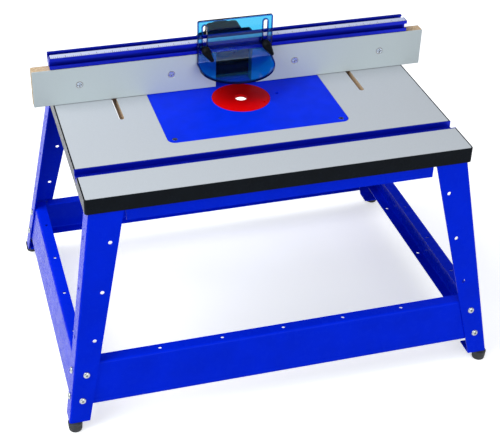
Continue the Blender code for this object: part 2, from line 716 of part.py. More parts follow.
# ---------------------------------------------------------------- fence
def facing_bolt_places(sx):
    """X places of one facing's two bolts."""
    first = FACING_GAP / 2 + FACING_BOLT_IN
    return [sx * first, sx * (first + FACING_BOLT_PITCH)]


def make_fence_rail(looks):
    """One extrusion: T-slotted rail, back plate and foot."""
    y, s = FACING_Y, SURFACE_Z
    front_in = y + RAIL_LIP
    front_back = y + RAIL_WELL
    land_end = y + RAIL_LAND
    up_front = front_back + RAIL_WEB
    up_low = RAIL_TOP - RAIL_TOP_WELL
    up_high = RAIL_TOP - RAIL_TOP_LIP
    up_back = RAIL_REAR_Y - RAIL_REAR_WALL
    rear_lip = RAIL_REAR_Y - RAIL_REAR_LIP
    plate_back = BACK_PLATE_Y + PLATE_WALL
    outline = [
        (y, RAIL_BOTTOM), (y, RAIL_MOUTH_LOW), (front_in, RAIL_MOUTH_LOW),
        (front_in, RAIL_BOTTOM + RAIL_WALL), (front_back, RAIL_BOTTOM + RAIL_WALL),
        (front_back, RAIL_TOP - RAIL_WALL), (front_in, RAIL_TOP - RAIL_WALL),
        (front_in, RAIL_MOUTH_HIGH), (y, RAIL_MOUTH_HIGH), (y, RAIL_TOP), (land_end, RAIL_TOP),
        (land_end, up_high), (up_front, up_high), (up_front, up_low), (up_back, up_low),
        (up_back, up_high), (rear_lip, up_high), (rear_lip, RAIL_TOP), (RAIL_REAR_Y, RAIL_TOP),
        (RAIL_REAR_Y, RAIL_BOTTOM), (plate_back, RAIL_BOTTOM), (plate_back, FOOT_TOP_Z),
        (FOOT_REAR_Y, FOOT_TOP_Z), (FOOT_REAR_Y, CLEAR), (BACK_PLATE_Y, CLEAR), (BACK_PLATE_Y, RAIL_BOTTOM),
    ]
    b = bmesh.new()
    prism(b, "X", [(py, s + pz) for py, pz in outline], -RAIL_LENGTH / 2, RAIL_LENGTH / 2)
    rail = new_object("fence_rail", b, looks["blue_anodised"])

    b = bmesh.new()
    mouth = round_box(2 * DUST_MOUTH_HALF, DUST_MOUTH_TOP, DUST_MOUTH_R,
                      (0, s + DUST_MOUTH_TOP / 2 + FOOT_TOP_Z), 3)
    prism(b, "Y", mouth, BACK_PLATE_Y - PAST_SHEET, plate_back + PAST_SHEET)
    for sx in (-1, 1):
        for x in facing_bolt_places(sx):
            slot_long = 2 * (FACING_TRAVEL + BOLT_R + FACING_SLOT_END)
            outline = slot_outline((x, s + FACING_BOLT_Z), slot_long, 2 * BOLT_R + FACING_SLOT_FIT)
            prism(b, "Y", outline, BACK_PLATE_Y - PAST_SHEET, plate_back + PAST_SHEET)
        rod(b, (sx * SLOT_X, CLAMP_Y, s), (0, 0, 1), CLAMP_R + CLEAR, -PAST_SHEET, PAST, ROUND)
    cut(rail, b)

    b = bmesh.new()
    box(b, (-RAIL_LENGTH / 2 + 0.002, RAIL_LENGTH / 2 - 0.002),
        (y + (RAIL_LAND - TAPE_WIDTH) / 2, y + (RAIL_LAND + TAPE_WIDTH) / 2),
        (s + RAIL_TOP + CLEAR / 3, s + RAIL_TOP + CLEAR / 3 + TAPE_THICK))
    new_object("scale_tape", b, looks["tape"])


def make_facing(side, sx, looks):
    """Laminated board on the front of the fence, with its two bolts and their knobs."""
    inner = sx * FACING_GAP / 2
    low = SURFACE_Z + FACING_LIFT
    high = SURFACE_Z + FACING_HEIGHT
    b = bmesh.new()
    box(b, sorted((inner, inner + sx * FACING_LENGTH)), (FACING_Y, FACING_Y + FACING_THICK), (low, high))
    board = new_object(f"facing_{side}", b, looks["facing"])
    holes = bmesh.new()
    length = FACING_THICK + CLEAR + PLATE_WALL + FACING_KNOB_H * 0.8
    for number, x in enumerate(facing_bolt_places(sx), 1):
        spot = (x, FACING_Y, SURFACE_Z + FACING_BOLT_Z)
        countersink(holes, spot, (0, 1, 0), FACING_HEAD_R, BOLT_R, FACING_THICK + PAST_SHEET)
        b = bmesh.new()
        countersunk(b, spot, (0, 1, 0), FACING_HEAD_R, BOLT_R, length)
        smooth(new_object(f"facing_bolt_{side}_{number}", b, looks["zinc"]))
        knob_y = BACK_PLATE_Y + PLATE_WALL + CLEAR
        make_knob(f"facing_knob_{side}_{number}", (x, knob_y, spot[2]), "Y", FACING_KNOB_R,
                  FACING_KNOB_H, looks)
    cut(board, holes)


def make_knob(name, place, axis, radius, height, looks):
    """Lobed hand knob that stands on place and runs along +Y or +Z, with a blind bore."""
    holder = bpy.data.objects.new(name + "_axis", None)
    holder.location = place
    bpy.context.scene.collection.objects.link(holder)
    direction = (0, 1, 0) if axis == "Y" else (0, 0, 1)
    grip = lobed(radius)
    waist = height * 0.35
    b = bmesh.new()
    prism(b, axis, grip, waist, height)
    knob = new_object(name, b, looks["black_plastic"])
    b = bmesh.new()
    rod(b, (0, 0, 0), direction, radius * 0.6, 0, waist + 0.001, ROUND)
    join(knob, b)
    b = bmesh.new()
    rod(b, (0, 0, 0), direction, BOLT_R + CLEAR, -0.005, height * 0.85, ROUND_SMALL)
    cut(knob, b)
    for piece in [knob] + [step.object for step in knob.modifiers]:
        piece.parent = holder


def make_dust_port(looks):
    """Black hood behind the fence's opening, with a round hose port."""
    s = SURFACE_Z
    front = BACK_PLATE_Y + PLATE_WALL + CLEAR
    low = FOOT_TOP_Z + CLEAR
    step_y = RAIL_REAR_Y + CLEAR
    step_z = RAIL_BOTTOM - CLEAR
    outline = [(front, low), (front, step_z), (step_y, step_z), (step_y, HOOD_TOP - HOOD_STEP_R),
               (step_y + HOOD_STEP_R, HOOD_TOP), (HOOD_REAR_Y - HOOD_REAR_R, HOOD_TOP),
               (HOOD_REAR_Y - HOOD_REAR_CUT, HOOD_TOP - HOOD_REAR_CUT),
               (HOOD_REAR_Y, HOOD_TOP - HOOD_REAR_R), (HOOD_REAR_Y, low)]
    b = bmesh.new()
    prism(b, "X", [(y, s + z) for y, z in outline], -HOOD_HALF, HOOD_HALF)
    hood = new_object("dust_port", b, looks["black_plastic"])
    for sx in (-1, 1):
        b = bmesh.new()
        prism(b, "Y", [(sx * (HOOD_HALF + PAST), s + HOOD_TOP - HOOD_SIDE_R - PAST),
                       (sx * (HOOD_HALF + PAST), s + HOOD_TOP + PAST),
                       (sx * (HOOD_HALF - HOOD_SIDE_R - PAST), s + HOOD_TOP + PAST)],
              front - PAST, HOOD_REAR_Y + PAST)
        cut(hood, b)
    b = bmesh.new()
    collar = round_box(2 * COLLAR_HALF, COLLAR_TOP - COLLAR_LOW, COLLAR_R,
                       (0, s + (COLLAR_LOW + COLLAR_TOP) / 2))
    prism(b, "Y", collar, HOOD_REAR_Y - COLLAR_R, COLLAR_REAR_Y)
    join(hood, b)
    b = bmesh.new()
    rod(b, (0, COLLAR_REAR_Y, s + PORT_Z), (0, 1, 0), PORT_R, -0.002, PORT_REAR_Y - COLLAR_REAR_Y, ROUND_FINE)
    join(hood, b)
    b = bmesh.new()
    box(b, (-HOOD_HALF + HOOD_WALL, HOOD_HALF - HOOD_WALL), (front - PAST_SHEET, HOOD_REAR_Y - HOOD_WALL),
        (s + low + HOOD_WALL, s + step_z - HOOD_WALL))
    cut(hood, b)
    b = bmesh.new()
    rod(b, (0, HOOD_REAR_Y, s + PORT_Z), (0, 1, 0), PORT_R - PORT_WALL, -HOOD_WALL - 0.003,
        PORT_REAR_Y - HOOD_REAR_Y + PAST_SHEET, ROUND_FINE)
    cut(hood, b)


def make_fence_clamp(side, sx, looks):
    """Flanged bolt up through a table slot, and the knob on the fence's foot."""
    flange_top = UNDER_Z - CLEAR
    head_top = flange_top - WASHER_H
    head_low = head_top - 0.004
    knob_z = SURFACE_Z + FOOT_TOP_Z + CLEAR
    tip = knob_z + CLAMP_KNOB_H * 0.8
    b = bmesh.new()
    turned(b, [(0, head_low), (CLAMP_HEAD_R, head_low), (CLAMP_HEAD_R, head_top), (WASHER_R, head_top),
               (WASHER_R, flange_top), (CLAMP_R, flange_top), (CLAMP_R, tip), (0, tip)],
           (sx * SLOT_X, CLAMP_Y, 0), (0, 0, 1))
    smooth(new_object(f"fence_clamp_bolt_{side}", b, looks["zinc"]))
    make_knob(f"fence_knob_{side}", (sx * SLOT_X, CLAMP_Y, knob_z), "Z", CLAMP_KNOB_R, CLAMP_KNOB_H, looks)


# ---------------------------------------------------------------- guard
def make_guard(looks):
    """Clear blue bit guard: an upright plate with two slots, folded into a sloping visor."""
    s = SURFACE_Z
    back, front = GUARD_Y, GUARD_Y - GUARD_THICK
    b = bmesh.new()
    low = GUARD_FOLD - GUARD_THICK
    upright = round_box(2 * GUARD_HALF, GUARD_TOP - low, 0.003, (0, s + (GUARD_TOP + low) / 2), 3)
    prism(b, "Y", upright, front, back)
    guard = new_object("guard", b, looks["guard_blue"])

    slope = (GUARD_FOLD - GUARD_FRONT_Z) / (front - GUARD_FRONT_Y)
    reach = front - GUARD_FRONT_Y
    steps = 24
    outline = [(GUARD_HALF, back)]
    for i in range(steps + 1):
        angle = math.pi * i / steps
        x = GUARD_HALF * math.cos(angle)
        y = front - VISOR_SHOULDER - (reach - VISOR_SHOULDER) * math.sin(angle)
        outline.append((x, y))
    outline.append((-GUARD_HALF, back))

    def drop(y):
        return s + GUARD_FOLD - slope * (back - y)

    b = bmesh.new()
    loft(b, [(x, y, drop(y) - GUARD_THICK) for x, y in outline], [(x, y, drop(y)) for x, y in outline])
    join(guard, b)

    b = bmesh.new()
    for sx in (-1, 1):
        centre = (sx * GUARD_SLOT_X, s + (GUARD_SLOT_TOP + GUARD_SLOT_BOTTOM) / 2)
        tall = GUARD_SLOT_TOP - GUARD_SLOT_BOTTOM
        border = slot_outline(centre, tall + 2 * GUARD_BORDER, GUARD_SLOT_W + 2 * GUARD_BORDER, "y")
        prism(b, "Y", border, front - GUARD_BORDER_H, front + GUARD_THICK / 2)
    join(guard, b)
    b = bmesh.new()
    for sx in (-1, 1):
        centre = (sx * GUARD_SLOT_X, s + (GUARD_SLOT_TOP + GUARD_SLOT_BOTTOM) / 2)
        slot = slot_outline(centre, GUARD_SLOT_TOP - GUARD_SLOT_BOTTOM, GUARD_SLOT_W, "y")
        prism(b, "Y", slot, front - PAST, back + PAST)
    cut(guard, b)


def make_guard_levers(looks):
    """T-bolts in the rail's front slot and the lever knobs that clamp the guard."""
    z = SURFACE_Z + MOUTH_Z
    lever_back = GUARD_Y - GUARD_THICK - GUARD_BORDER_H - CLEAR
    lever_front = lever_back - LEVER_DEPTH
    head = GUARD_BOLT_HEAD_R
    head_y = FACING_Y + RAIL_LIP + CLEAR
    tip = lever_front + 0.004
    for sx, side in ((-1, "left"), (1, "right")):
        x = sx * GUARD_SLOT_X
        b = bmesh.new()
        head_back = head_y + GUARD_BOLT_HEAD_H
        turned(b, [(0, head_back), (head, head_back), (head, head_y), (BOLT_R, head_y),
                   (BOLT_R, tip), (0, tip)], (x, 0, z), (0, 1, 0))
        smooth(new_object(f"guard_bolt_{side}", b, looks["zinc"]))
        make_lever(f"guard_lever_{side}", Vector((x, lever_back, z)), looks)


def make_lever(name, spot, looks):
    """Teardrop lever that turns about the bolt's line."""
    holder = bpy.data.objects.new(name + "_axis", None)
    holder.location = spot
    bpy.context.scene.collection.objects.link(holder)
    turn = math.radians(-90 + LEVER_TURN)
    tip = Vector((math.cos(turn), math.sin(turn))) * (LEVER_REACH - LEVER_TIP_R)
    spread = math.acos((LEVER_R - LEVER_TIP_R) / (LEVER_REACH - LEVER_TIP_R))
    outline = []
    for i in range(13):
        angle = turn + spread + (2 * math.pi - 2 * spread) * i / 12
        outline.append((LEVER_R * math.cos(angle), LEVER_R * math.sin(angle)))
    for i in range(5):
        angle = turn - spread + 2 * spread * i / 4
        outline.append((tip.x + LEVER_TIP_R * math.cos(angle), tip.y + LEVER_TIP_R * math.sin(angle)))
    b = bmesh.new()
    prism(b, "Y", outline, -LEVER_DEPTH, 0)
    lever = new_object(name, b, looks["black_plastic"])
    b = bmesh.new()
    rod(b, (0, 0, 0), (0, 1, 0), BOLT_R + CLEAR, -LEVER_DEPTH + 0.003, 0.005, ROUND_SMALL)
    cut(lever, b)
    for piece in [lever] + [step.object for step in lever.modifiers]:
        piece.parent = holder


def main():
    for old in list(bpy.data.objects):
        bpy.data.objects.remove(old, do_unlink=True)
    looks = make_looks()
    make_table_top(looks)
    make_edge_band(looks)
    make_mitre_track(looks)
    make_insert_plate(looks)
    for sy, end in ((-1, "front"), (1, "rear")):
        make_front_stretcher(f"stretcher_{end}", sy, looks)
        make_top_rail(f"top_rail_{end}", sy, looks)
        for sx, side in ((-1, "left"), (1, "right")):
            make_leg(f"leg_{end}_{side}", sx, sy, looks)
            make_stretcher_bolts(f"stretcher_bolt_{end}_{side}", sx, sy, looks)
            make_foot(f"foot_{end}_{side}", sx, sy, looks)
    for sx, side in ((-1, "left"), (1, "right")):
        make_side_stretcher(f"stretcher_{side}", sx, looks)
        make_facing(side, sx, looks)
        make_fence_clamp(side, sx, looks)
    make_fence_rail(looks)
    make_dust_port(looks)
    make_guard(looks)
    make_guard_levers(looks)


main()
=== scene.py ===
import math

import bmesh
import bpy
from mathutils import Matrix, Vector


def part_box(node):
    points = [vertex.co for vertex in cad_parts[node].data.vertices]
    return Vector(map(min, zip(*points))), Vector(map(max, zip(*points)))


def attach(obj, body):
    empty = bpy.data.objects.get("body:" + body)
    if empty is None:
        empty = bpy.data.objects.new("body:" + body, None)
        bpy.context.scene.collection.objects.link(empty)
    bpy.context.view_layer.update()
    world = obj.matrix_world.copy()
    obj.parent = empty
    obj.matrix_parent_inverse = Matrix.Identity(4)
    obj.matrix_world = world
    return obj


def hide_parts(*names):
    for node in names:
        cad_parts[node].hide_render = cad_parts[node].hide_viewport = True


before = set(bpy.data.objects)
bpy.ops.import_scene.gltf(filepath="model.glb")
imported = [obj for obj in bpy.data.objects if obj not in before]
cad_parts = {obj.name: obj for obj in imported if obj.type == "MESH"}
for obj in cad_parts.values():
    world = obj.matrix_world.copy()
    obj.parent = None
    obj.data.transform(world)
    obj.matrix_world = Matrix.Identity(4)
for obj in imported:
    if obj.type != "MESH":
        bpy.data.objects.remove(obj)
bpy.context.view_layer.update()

scene = bpy.context.scene

# ---------------------------------------------------------------- studio
# A long lens looks down on the table from the front left. The floor is a pale sweep, lit by three
# soft boxes and an even sky. A black flag behind the table darkens what its shiny faces mirror.
EYE = Vector((-0.497, -1.605, 1.322))
YAW, PITCH, ROLL = math.radians(15.649), math.radians(34.411), math.radians(0.824)
forward = Vector((math.sin(YAW) * math.cos(PITCH), math.cos(YAW) * math.cos(PITCH), -math.sin(PITCH)))
level = Vector((math.cos(YAW), -math.sin(YAW), 0.0))
upright = level.cross(forward)
right = math.cos(ROLL) * level + math.sin(ROLL) * upright
upward = -math.sin(ROLL) * level + math.cos(ROLL) * upright
camera = bpy.data.objects.new("camera", bpy.data.cameras.new("camera"))
camera.data.sensor_width = 36.0
camera.data.lens = 84.52
camera.data.shift_x = 0.0631
camera.data.shift_y = -0.0057
camera.data.clip_end = 50.0
camera.matrix_world = Matrix((
    (right.x, upward.x, -forward.x, EYE.x),
    (right.y, upward.y, -forward.y, EYE.y),
    (right.z, upward.z, -forward.z, EYE.z),
    (0.0, 0.0, 0.0, 1.0)))
scene.collection.objects.link(camera)
scene.camera = camera
scene.view_settings.view_transform = "Standard"


def soft_box(name, place, aim, size, power, tint=(1.0, 1.0, 1.0)):
    """A rectangular area light that points at a spot."""
    lamp = bpy.data.lights.new(name, "AREA")
    lamp.shape = "RECTANGLE"
    lamp.size, lamp.size_y = size
    lamp.energy = power
    lamp.color = tint
    stand = bpy.data.objects.new(name, lamp)
    stand.matrix_world = (Matrix.Translation(place)
                          @ (Vector(aim) - Vector(place)).to_track_quat("-Z", "Y").to_matrix().to_4x4())
    scene.collection.objects.link(stand)


soft_box("overhead_box", (-1.3, 0.1, 2.1), (-0.1, 0.0, 0.3), (1.6, 1.6), 34.0)
soft_box("left_box", (-2.4, -0.9, 1.5), (0.0, 0.0, 0.3), (1.4, 1.8), 20.0, (0.74, 0.94, 1.0))
soft_box("front_box", (0.6, -2.8, 1.2), (0.0, 0.0, 0.3), (2.0, 1.4), 33.0)


def set_inputs(node, values):
    """Set a node's inputs by their names."""
    for label, value in values.items():
        node.inputs[label].default_value = value


def card(name, corners, paint):
    """One flat face of the studio, which is no part of the table."""
    made = bpy.data.objects.new(name, bpy.data.meshes.new(name))
    made.data.from_pydata(corners, [], [(0, 1, 2, 3)])
    made.data.materials.append(paint)
    scene.collection.objects.link(made)
    return made


FLAG_Y = 2.3
FLAG_X = (-1.2, 2.4)
FLAG_Z = (0.8, 2.4)
FLOOR_REACH = 30.0
cloth = bpy.data.materials.new("black_cloth")
cloth.use_nodes = True
set_inputs(cloth.node_tree.nodes["Principled BSDF"], {"Base Color": (0.01, 0.01, 0.01, 1.0)})
flag = card("black_flag", [(FLAG_X[0], FLAG_Y, FLAG_Z[0]), (FLAG_X[1], FLAG_Y, FLAG_Z[0]),
                           (FLAG_X[1], FLAG_Y, FLAG_Z[1]), (FLAG_X[0], FLAG_Y, FLAG_Z[1])], cloth)
flag.visible_camera = flag.visible_diffuse = flag.visible_shadow = False

sky = bpy.data.worlds.new("sky")
sky.use_nodes = True
set_inputs(sky.node_tree.nodes["Background"], {"Color": (0.93, 0.96, 1.0, 1.0), "Strength": 0.50})
scene.world = sky

# The paper looks white to the lens and throws back less light than that on the table.
paper = bpy.data.materials.new("floor_paper")
paper.use_nodes = True
nodes, links = paper.node_tree.nodes, paper.node_tree.links
pale = nodes["Principled BSDF"]
set_inputs(pale, {"Base Color": (0.93, 0.93, 0.93, 1.0), "Roughness": 0.9,
                  "Emission Color": (1.0, 1.0, 1.0, 1.0), "Emission Strength": 0.48})
dim = nodes.new("ShaderNodeBsdfDiffuse")
set_inputs(dim, {"Color": (0.30, 0.30, 0.30, 1.0)})
which = nodes.new("ShaderNodeMixShader")
links.new(nodes.new("ShaderNodeLightPath").outputs["Is Diffuse Ray"], which.inputs["Fac"])
links.new(pale.outputs["BSDF"], which.inputs[1])
links.new(dim.outputs["BSDF"], which.inputs[2])
links.new(which.outputs["Shader"], nodes["Material Output"].inputs["Surface"])
card("floor", [(-FLOOR_REACH, -FLOOR_REACH, 0), (FLOOR_REACH, -FLOOR_REACH, 0),
               (FLOOR_REACH, FLOOR_REACH, 0), (-FLOOR_REACH, FLOOR_REACH, 0)], paper)


# ---------------------------------------------------------------- board
# The top is a one-inch board of pressed fibre with a hard light-grey laminate on both faces. It is
# routed out for the insert plate, the mitre track and the two slots that the fence slides in.
def finish(name, colour, rough, metallic=0.0):
    """A new surface: its material, node tree, shader and a texture position in metres."""
    made = bpy.data.materials.new(name)
    made.use_nodes = True
    tree = made.node_tree
    shader = tree.nodes["Principled BSDF"]
    set_inputs(shader, {"Base Color": (*colour, 1.0), "Roughness": rough, "Metallic": metallic})
    return made, tree, shader, tree.nodes.new("ShaderNodeTexCoord").outputs["Object"]


def grain(tree, place, size, stretch=(1.0, 1.0, 1.0), detail=3.0):
    """Noise whose lumps are about size metres across, drawn out along an axis by stretch."""
    mapping = tree.nodes.new("ShaderNodeMapping")
    set_inputs(mapping, {"Scale": [1.0 / (size * s) for s in stretch]})
    noise = tree.nodes.new("ShaderNodeTexNoise")
    set_inputs(noise, {"Scale": 1.0, "Detail": detail})
    tree.links.new(place, mapping.inputs["Vector"])
    tree.links.new(mapping.outputs["Vector"], noise.inputs["Vector"])
    return noise.outputs["Fac"]


def tone(tree, shader, value, dark, light, low=0.35, high=0.65):
    """Colour that runs from dark to light with a value."""
    ramp = tree.nodes.new("ShaderNodeValToRGB")
    for element, position, colour in zip(ramp.color_ramp.elements, (low, high), (dark, light)):
        element.position = position
        element.color = (*colour, 1.0)
    tree.links.new(value, ramp.inputs["Fac"])
    tree.links.new(ramp.outputs["Color"], shader.inputs["Base Color"])
    return ramp


def polish(tree, shader, value, low, high):
    """Roughness that runs from low to high with a value."""
    spread = tree.nodes.new("ShaderNodeMapRange")
    set_inputs(spread, {"From Min": 0.3, "From Max": 0.7, "To Min": low, "To Max": high})
    tree.links.new(value, spread.inputs["Value"])
    tree.links.new(spread.outputs["Result"], shader.inputs["Roughness"])


def relief(tree, shader, value, height):
    """Bump of a real height in metres."""
    bump = tree.nodes.new("ShaderNodeBump")
    set_inputs(bump, {"Distance": height, "Strength": 1.0})
    tree.links.new(value, bump.inputs["Height"])
    tree.links.new(bump.outputs["Normal"], shader.inputs["Normal"])


def calc(tree, operation, *values):
    """One step of arithmetic on sockets and numbers."""
    step = tree.nodes.new("ShaderNodeMath")
    step.operation = operation
    for socket, value in zip(step.inputs, values):
        if isinstance(value, float):
            socket.default_value = value
        else:
            tree.links.new(value, socket)
    return step.outputs["Value"]


def axes_of(tree, place):
    """The X, Y and Z of a texture position."""
    split = tree.nodes.new("ShaderNodeSeparateXYZ")
    tree.links.new(place, split.inputs["Vector"])
    return split.outputs


def mix(tree, shader, value, off, on):
    """Colour that is off where a value is 0 and on where it is 1."""
    blend = tree.nodes.new("ShaderNodeMix")
    blend.data_type = "RGBA"
    tree.links.new(value, blend.inputs["Factor"])
    for label, colour in (("A", off), ("B", on)):
        if isinstance(colour, tuple):
            blend.inputs[label].default_value = colour
        else:
            tree.links.new(colour, blend.inputs[label])
    tree.links.new(blend.outputs["Result"], shader.inputs["Base Color"])


def make_laminated(name, colour, axis, low, high, skin=0.0009):
    """Pressed fibre with a melamine skin on its two faces, which lie at low and high along an axis."""
    made, tree, shader, place = finish(name, colour, 0.4)
    dark, light = [c * 0.96 for c in colour], [c * 1.03 for c in colour]
    melamine = tone(tree, shader, grain(tree, place, 0.0011, detail=4.0), dark, light)
    strand = grain(tree, place, 0.0009, (3.0, 3.0, 0.5), 5.0)
    fibre = tone(tree, shader, strand, (0.40, 0.27, 0.15), (0.70, 0.53, 0.36))
    inside = calc(tree, "COMPARE", axes_of(tree, place)[axis], (low + high) / 2, (high - low) / 2 - skin)
    mix(tree, shader, inside, melamine.outputs["Color"], fibre.outputs["Color"])
    polish(tree, shader, inside, 0.4, 0.85)
    relief(tree, shader, calc(tree, "MULTIPLY", inside, strand), 0.0001)
    set_inputs(shader, {"Specular IOR Level": 0.2})
    return made


def final_shape(made):
    """An object's mesh after its modifiers, as a bmesh. The object is removed."""
    mesh = bpy.data.meshes.new_from_object(made.evaluated_get(bpy.context.evaluated_depsgraph_get()))
    shape = bmesh.new()
    shape.from_mesh(mesh)
    bpy.data.objects.remove(made)
    bpy.data.meshes.remove(mesh)
    return shape


def flat_stock(outline, holes, low, high, ease):
    """A sheet cut to an outline with holes, lying between two heights, with its rims eased."""
    path = bpy.data.curves.new("stock", "CURVE")
    path.dimensions = "2D"
    path.fill_mode = "BOTH"
    path.extrude = (high - low) / 2 - ease
    path.bevel_depth = ease
    path.bevel_resolution = 1
    path.offset = -ease
    for loop in [outline, *holes]:
        run = path.splines.new("POLY")
        run.points.add(len(loop) - 1)
        for point, (x, y) in zip(run.points, loop):
            point.co = (x, y, 0.0, 1.0)
        run.use_cyclic_u = True
    holder = bpy.data.objects.new("stock", path)
    scene.collection.objects.link(holder)
    shape = final_shape(holder)
    bmesh.ops.remove_doubles(shape, verts=shape.verts, dist=1e-6)
    bmesh.ops.translate(shape, verts=shape.verts, vec=(0, 0, (low + high) / 2))
    return shape


def rounded_rectangle(width, depth, radius, centre, steps=8):
    """Outline of a rectangle with round corners."""
    points = []
    for turn, (sx, sy) in enumerate([(1, 1), (-1, 1), (-1, -1), (1, -1)]):
        for i in range(steps + 1):
            angle = math.pi / 2 * (turn + i / steps)
            points.append((centre[0] + sx * (width / 2 - radius) + radius * math.cos(angle),
                           centre[1] + sy * (depth / 2 - radius) + radius * math.sin(angle)))
    return points


def round_slot(centre, width, length, upright=True, steps=8):
    """Outline of a slot with round ends, its length along the second axis or the first."""
    size = (width, length) if upright else (length, width)
    return rounded_rectangle(*size, width / 2 - 1e-6, centre, steps)


def circle(radius, centre, sides=32):
    """Outline of a circle."""
    return [(centre[0] + radius * math.cos(2 * math.pi * i / sides),
             centre[1] + radius * math.sin(2 * math.pi * i / sides)) for i in range(sides)]


def as_object(name, shape):
    """A bmesh made into a plain object with its faces out."""
    bmesh.ops.recalc_face_normals(shape, faces=shape.faces)
    mesh = bpy.data.meshes.new(name)
    shape.to_mesh(mesh)
    shape.free()
    made = bpy.data.objects.new(name, mesh)
    scene.collection.objects.link(made)
    return made


def carve(shape, tools, operation="DIFFERENCE"):
    """Cut shapes out of a shape, weld them on, or keep what they share."""
    body = as_object("blank", shape)
    cutters = [as_object("tool", tool) for tool in tools]
    for cutter in cutters:
        step = body.modifiers.new("cut", "BOOLEAN")
        step.operation = operation
        step.solver = "EXACT"
        step.object = cutter
    result = final_shape(body)
    for cutter in cutters:
        bpy.data.objects.remove(cutter)
    bmesh.ops.remove_doubles(result, verts=result.verts, dist=1e-6)
    bmesh.ops.dissolve_degenerate(result, edges=result.edges, dist=1e-6)
    return result


def block(x, y, z):
    """A box from three spans."""
    shape = bmesh.new()
    bmesh.ops.create_cube(shape, size=1.0)
    for vert in shape.verts:
        vert.co = [low + (c + 0.5) * (high - low) for c, (low, high) in zip(vert.co, (x, y, z))]
    return shape


def settle(name, shape, surface, body, stands_for=(), ease=0.0, crease=35.0):
    """Finish a piece: its faces out, round sides smooth and corners crisp, fixed to its body."""
    made = as_object(name, shape)
    made.data.materials.append(surface)
    made.data.shade_smooth()
    made.data.set_sharp_from_angle(angle=math.radians(crease))
    if ease:
        rim = made.modifiers.new("rim", "BEVEL")
        rim.width = ease
        rim.segments = 2
        rim.limit_method = "ANGLE"
        rim.angle_limit = math.radians(50)
        rim.harden_normals = True
    flow = made.modifiers.new("flow", "WEIGHTED_NORMAL")
    flow.keep_sharp = True
    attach(made, body)
    if stands_for:
        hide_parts(*stands_for)
    return made


def centre_of(node):
    """Middle of a node's box."""
    return [(low + high) / 2 for low, high in zip(*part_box(node))]


board_low, board_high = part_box("table_top")
track_low, track_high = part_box("mitre_track")
plate_low, plate_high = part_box("insert_plate")
plate_centre = (0.0, centre_of("insert_plate")[1])
PLATE_THICK = 0.0095
PLATE_FIT = 0.0005
PLATE_CORNER = 0.012
BAY_LEDGE = 0.010
BAY_CORNER = 0.025
CLAMP_X, CLAMP_Y = centre_of("fence_clamp_bolt_right")[:2]
SLOT_WIDTH = 0.0085
SLOT_SPAN = (0.017, 0.172)
plate_size = (plate_high.x - plate_low.x, plate_high.y - plate_low.y)
board_size = (board_high.x - board_low.x, board_high.y - board_low.y)

fence_slots = [round_slot((side * CLAMP_X, sum(SLOT_SPAN) / 2), SLOT_WIDTH, SLOT_SPAN[1] - SLOT_SPAN[0])
               for side in (-1, 1)]
bay = rounded_rectangle(plate_size[0] + 2 * (PLATE_FIT - BAY_LEDGE),
                        plate_size[1] + 2 * (PLATE_FIT - BAY_LEDGE), BAY_CORNER, plate_centre)
blank = flat_stock(rounded_rectangle(*board_size, 0.003, (0.0, 0.0)), [bay, *fence_slots],
                   board_low.z, board_high.z, 0.0003)
recess = flat_stock(rounded_rectangle(plate_size[0] + 2 * PLATE_FIT, plate_size[1] + 2 * PLATE_FIT,
                                      PLATE_CORNER + PLATE_FIT, plate_centre), [],
                    plate_high.z - PLATE_THICK - 0.0003, board_high.z + 0.01, 0.0001)
groove = block((-0.5, 0.5), (track_low.y - 0.0003, track_high.y + 0.0003),
               (track_low.z - 0.0003, board_high.z + 0.01))
board_grey = make_laminated("grey_laminate", (0.480, 0.507, 0.541), "Z", board_low.z, board_high.z)
settle("table_board", carve(blank, [recess, groove]), board_grey, "stand", ["table_top"])

# ---------------------------------------------------------------- edge moulding
# Black plastic moulding is pressed round the rim of the board. Its face is slightly crowned, and it
# stops short at both ends of the mitre track.
band_low, band_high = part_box("edge_band")
BAND_THICK = 0.002
BAND_CORNER = 0.005


def uneven(name, colour, rough, tones, gloss, bump, specular, metallic=0.0):
    """A surface whose tone and gloss drift over a fine relief. Tones and gloss each give the size of
    their grain and how far they drift either way, and bump gives its size, height and detail."""
    made, tree, shader, place = finish(name, colour, rough, metallic)
    dark, light = [[min(1.0, c * share) for c in colour] for share in tones[1:]]
    tone(tree, shader, grain(tree, place, tones[0]), dark, light)
    polish(tree, shader, grain(tree, place, gloss[0]), rough + gloss[1], rough + gloss[2])
    relief(tree, shader, grain(tree, place, bump[0], detail=bump[2]), bump[1])
    set_inputs(shader, {"Specular IOR Level": specular})
    return made


def make_moulded(name, colour, rough, pebble=0.0006):
    """Injection-moulded plastic: even colour, a light pebble and slightly uneven gloss."""
    return uneven(name, colour, rough, (0.02, 0.85, 1.15), (0.008, -0.05, 0.07), (pebble, 0.00002, 3.0), 0.05)


gloss_black = make_moulded("gloss_black_moulding", (0.003, 0.005, 0.008), 0.24, 0.004)
band_size = (band_high.x - band_low.x, band_high.y - band_low.y)
rim = flat_stock(rounded_rectangle(*band_size, BAND_CORNER, (0.0, 0.0)),
                 [rounded_rectangle(band_size[0] - 2 * BAND_THICK, band_size[1] - 2 * BAND_THICK,
                                    BAND_CORNER - BAND_THICK, (0.0, 0.0))],
                 band_low.z, band_high.z, 0.0008)
gate = block((-0.5, 0.5), (track_low.y - 0.0003, track_high.y + 0.0003),
             (track_low.z - 0.0003, band_high.z + 0.01))
settle("edge_moulding", carve(rim, [gate]), gloss_black, "stand", ["edge_band"])

# ---------------------------------------------------------------- mitre track
# An anodised aluminium channel is pressed into the groove, flush with the top, and held by five
# countersunk screws in its floor.
TRACK_SLOT = 0.0193
TRACK_FLOOR = 0.003
TRACK_SCREW_STEP = 0.138
TRACK_SCREW_COUNT = 5
COUNTERSINK_R = 0.0036
SCREW_SHANK_R = 0.0018


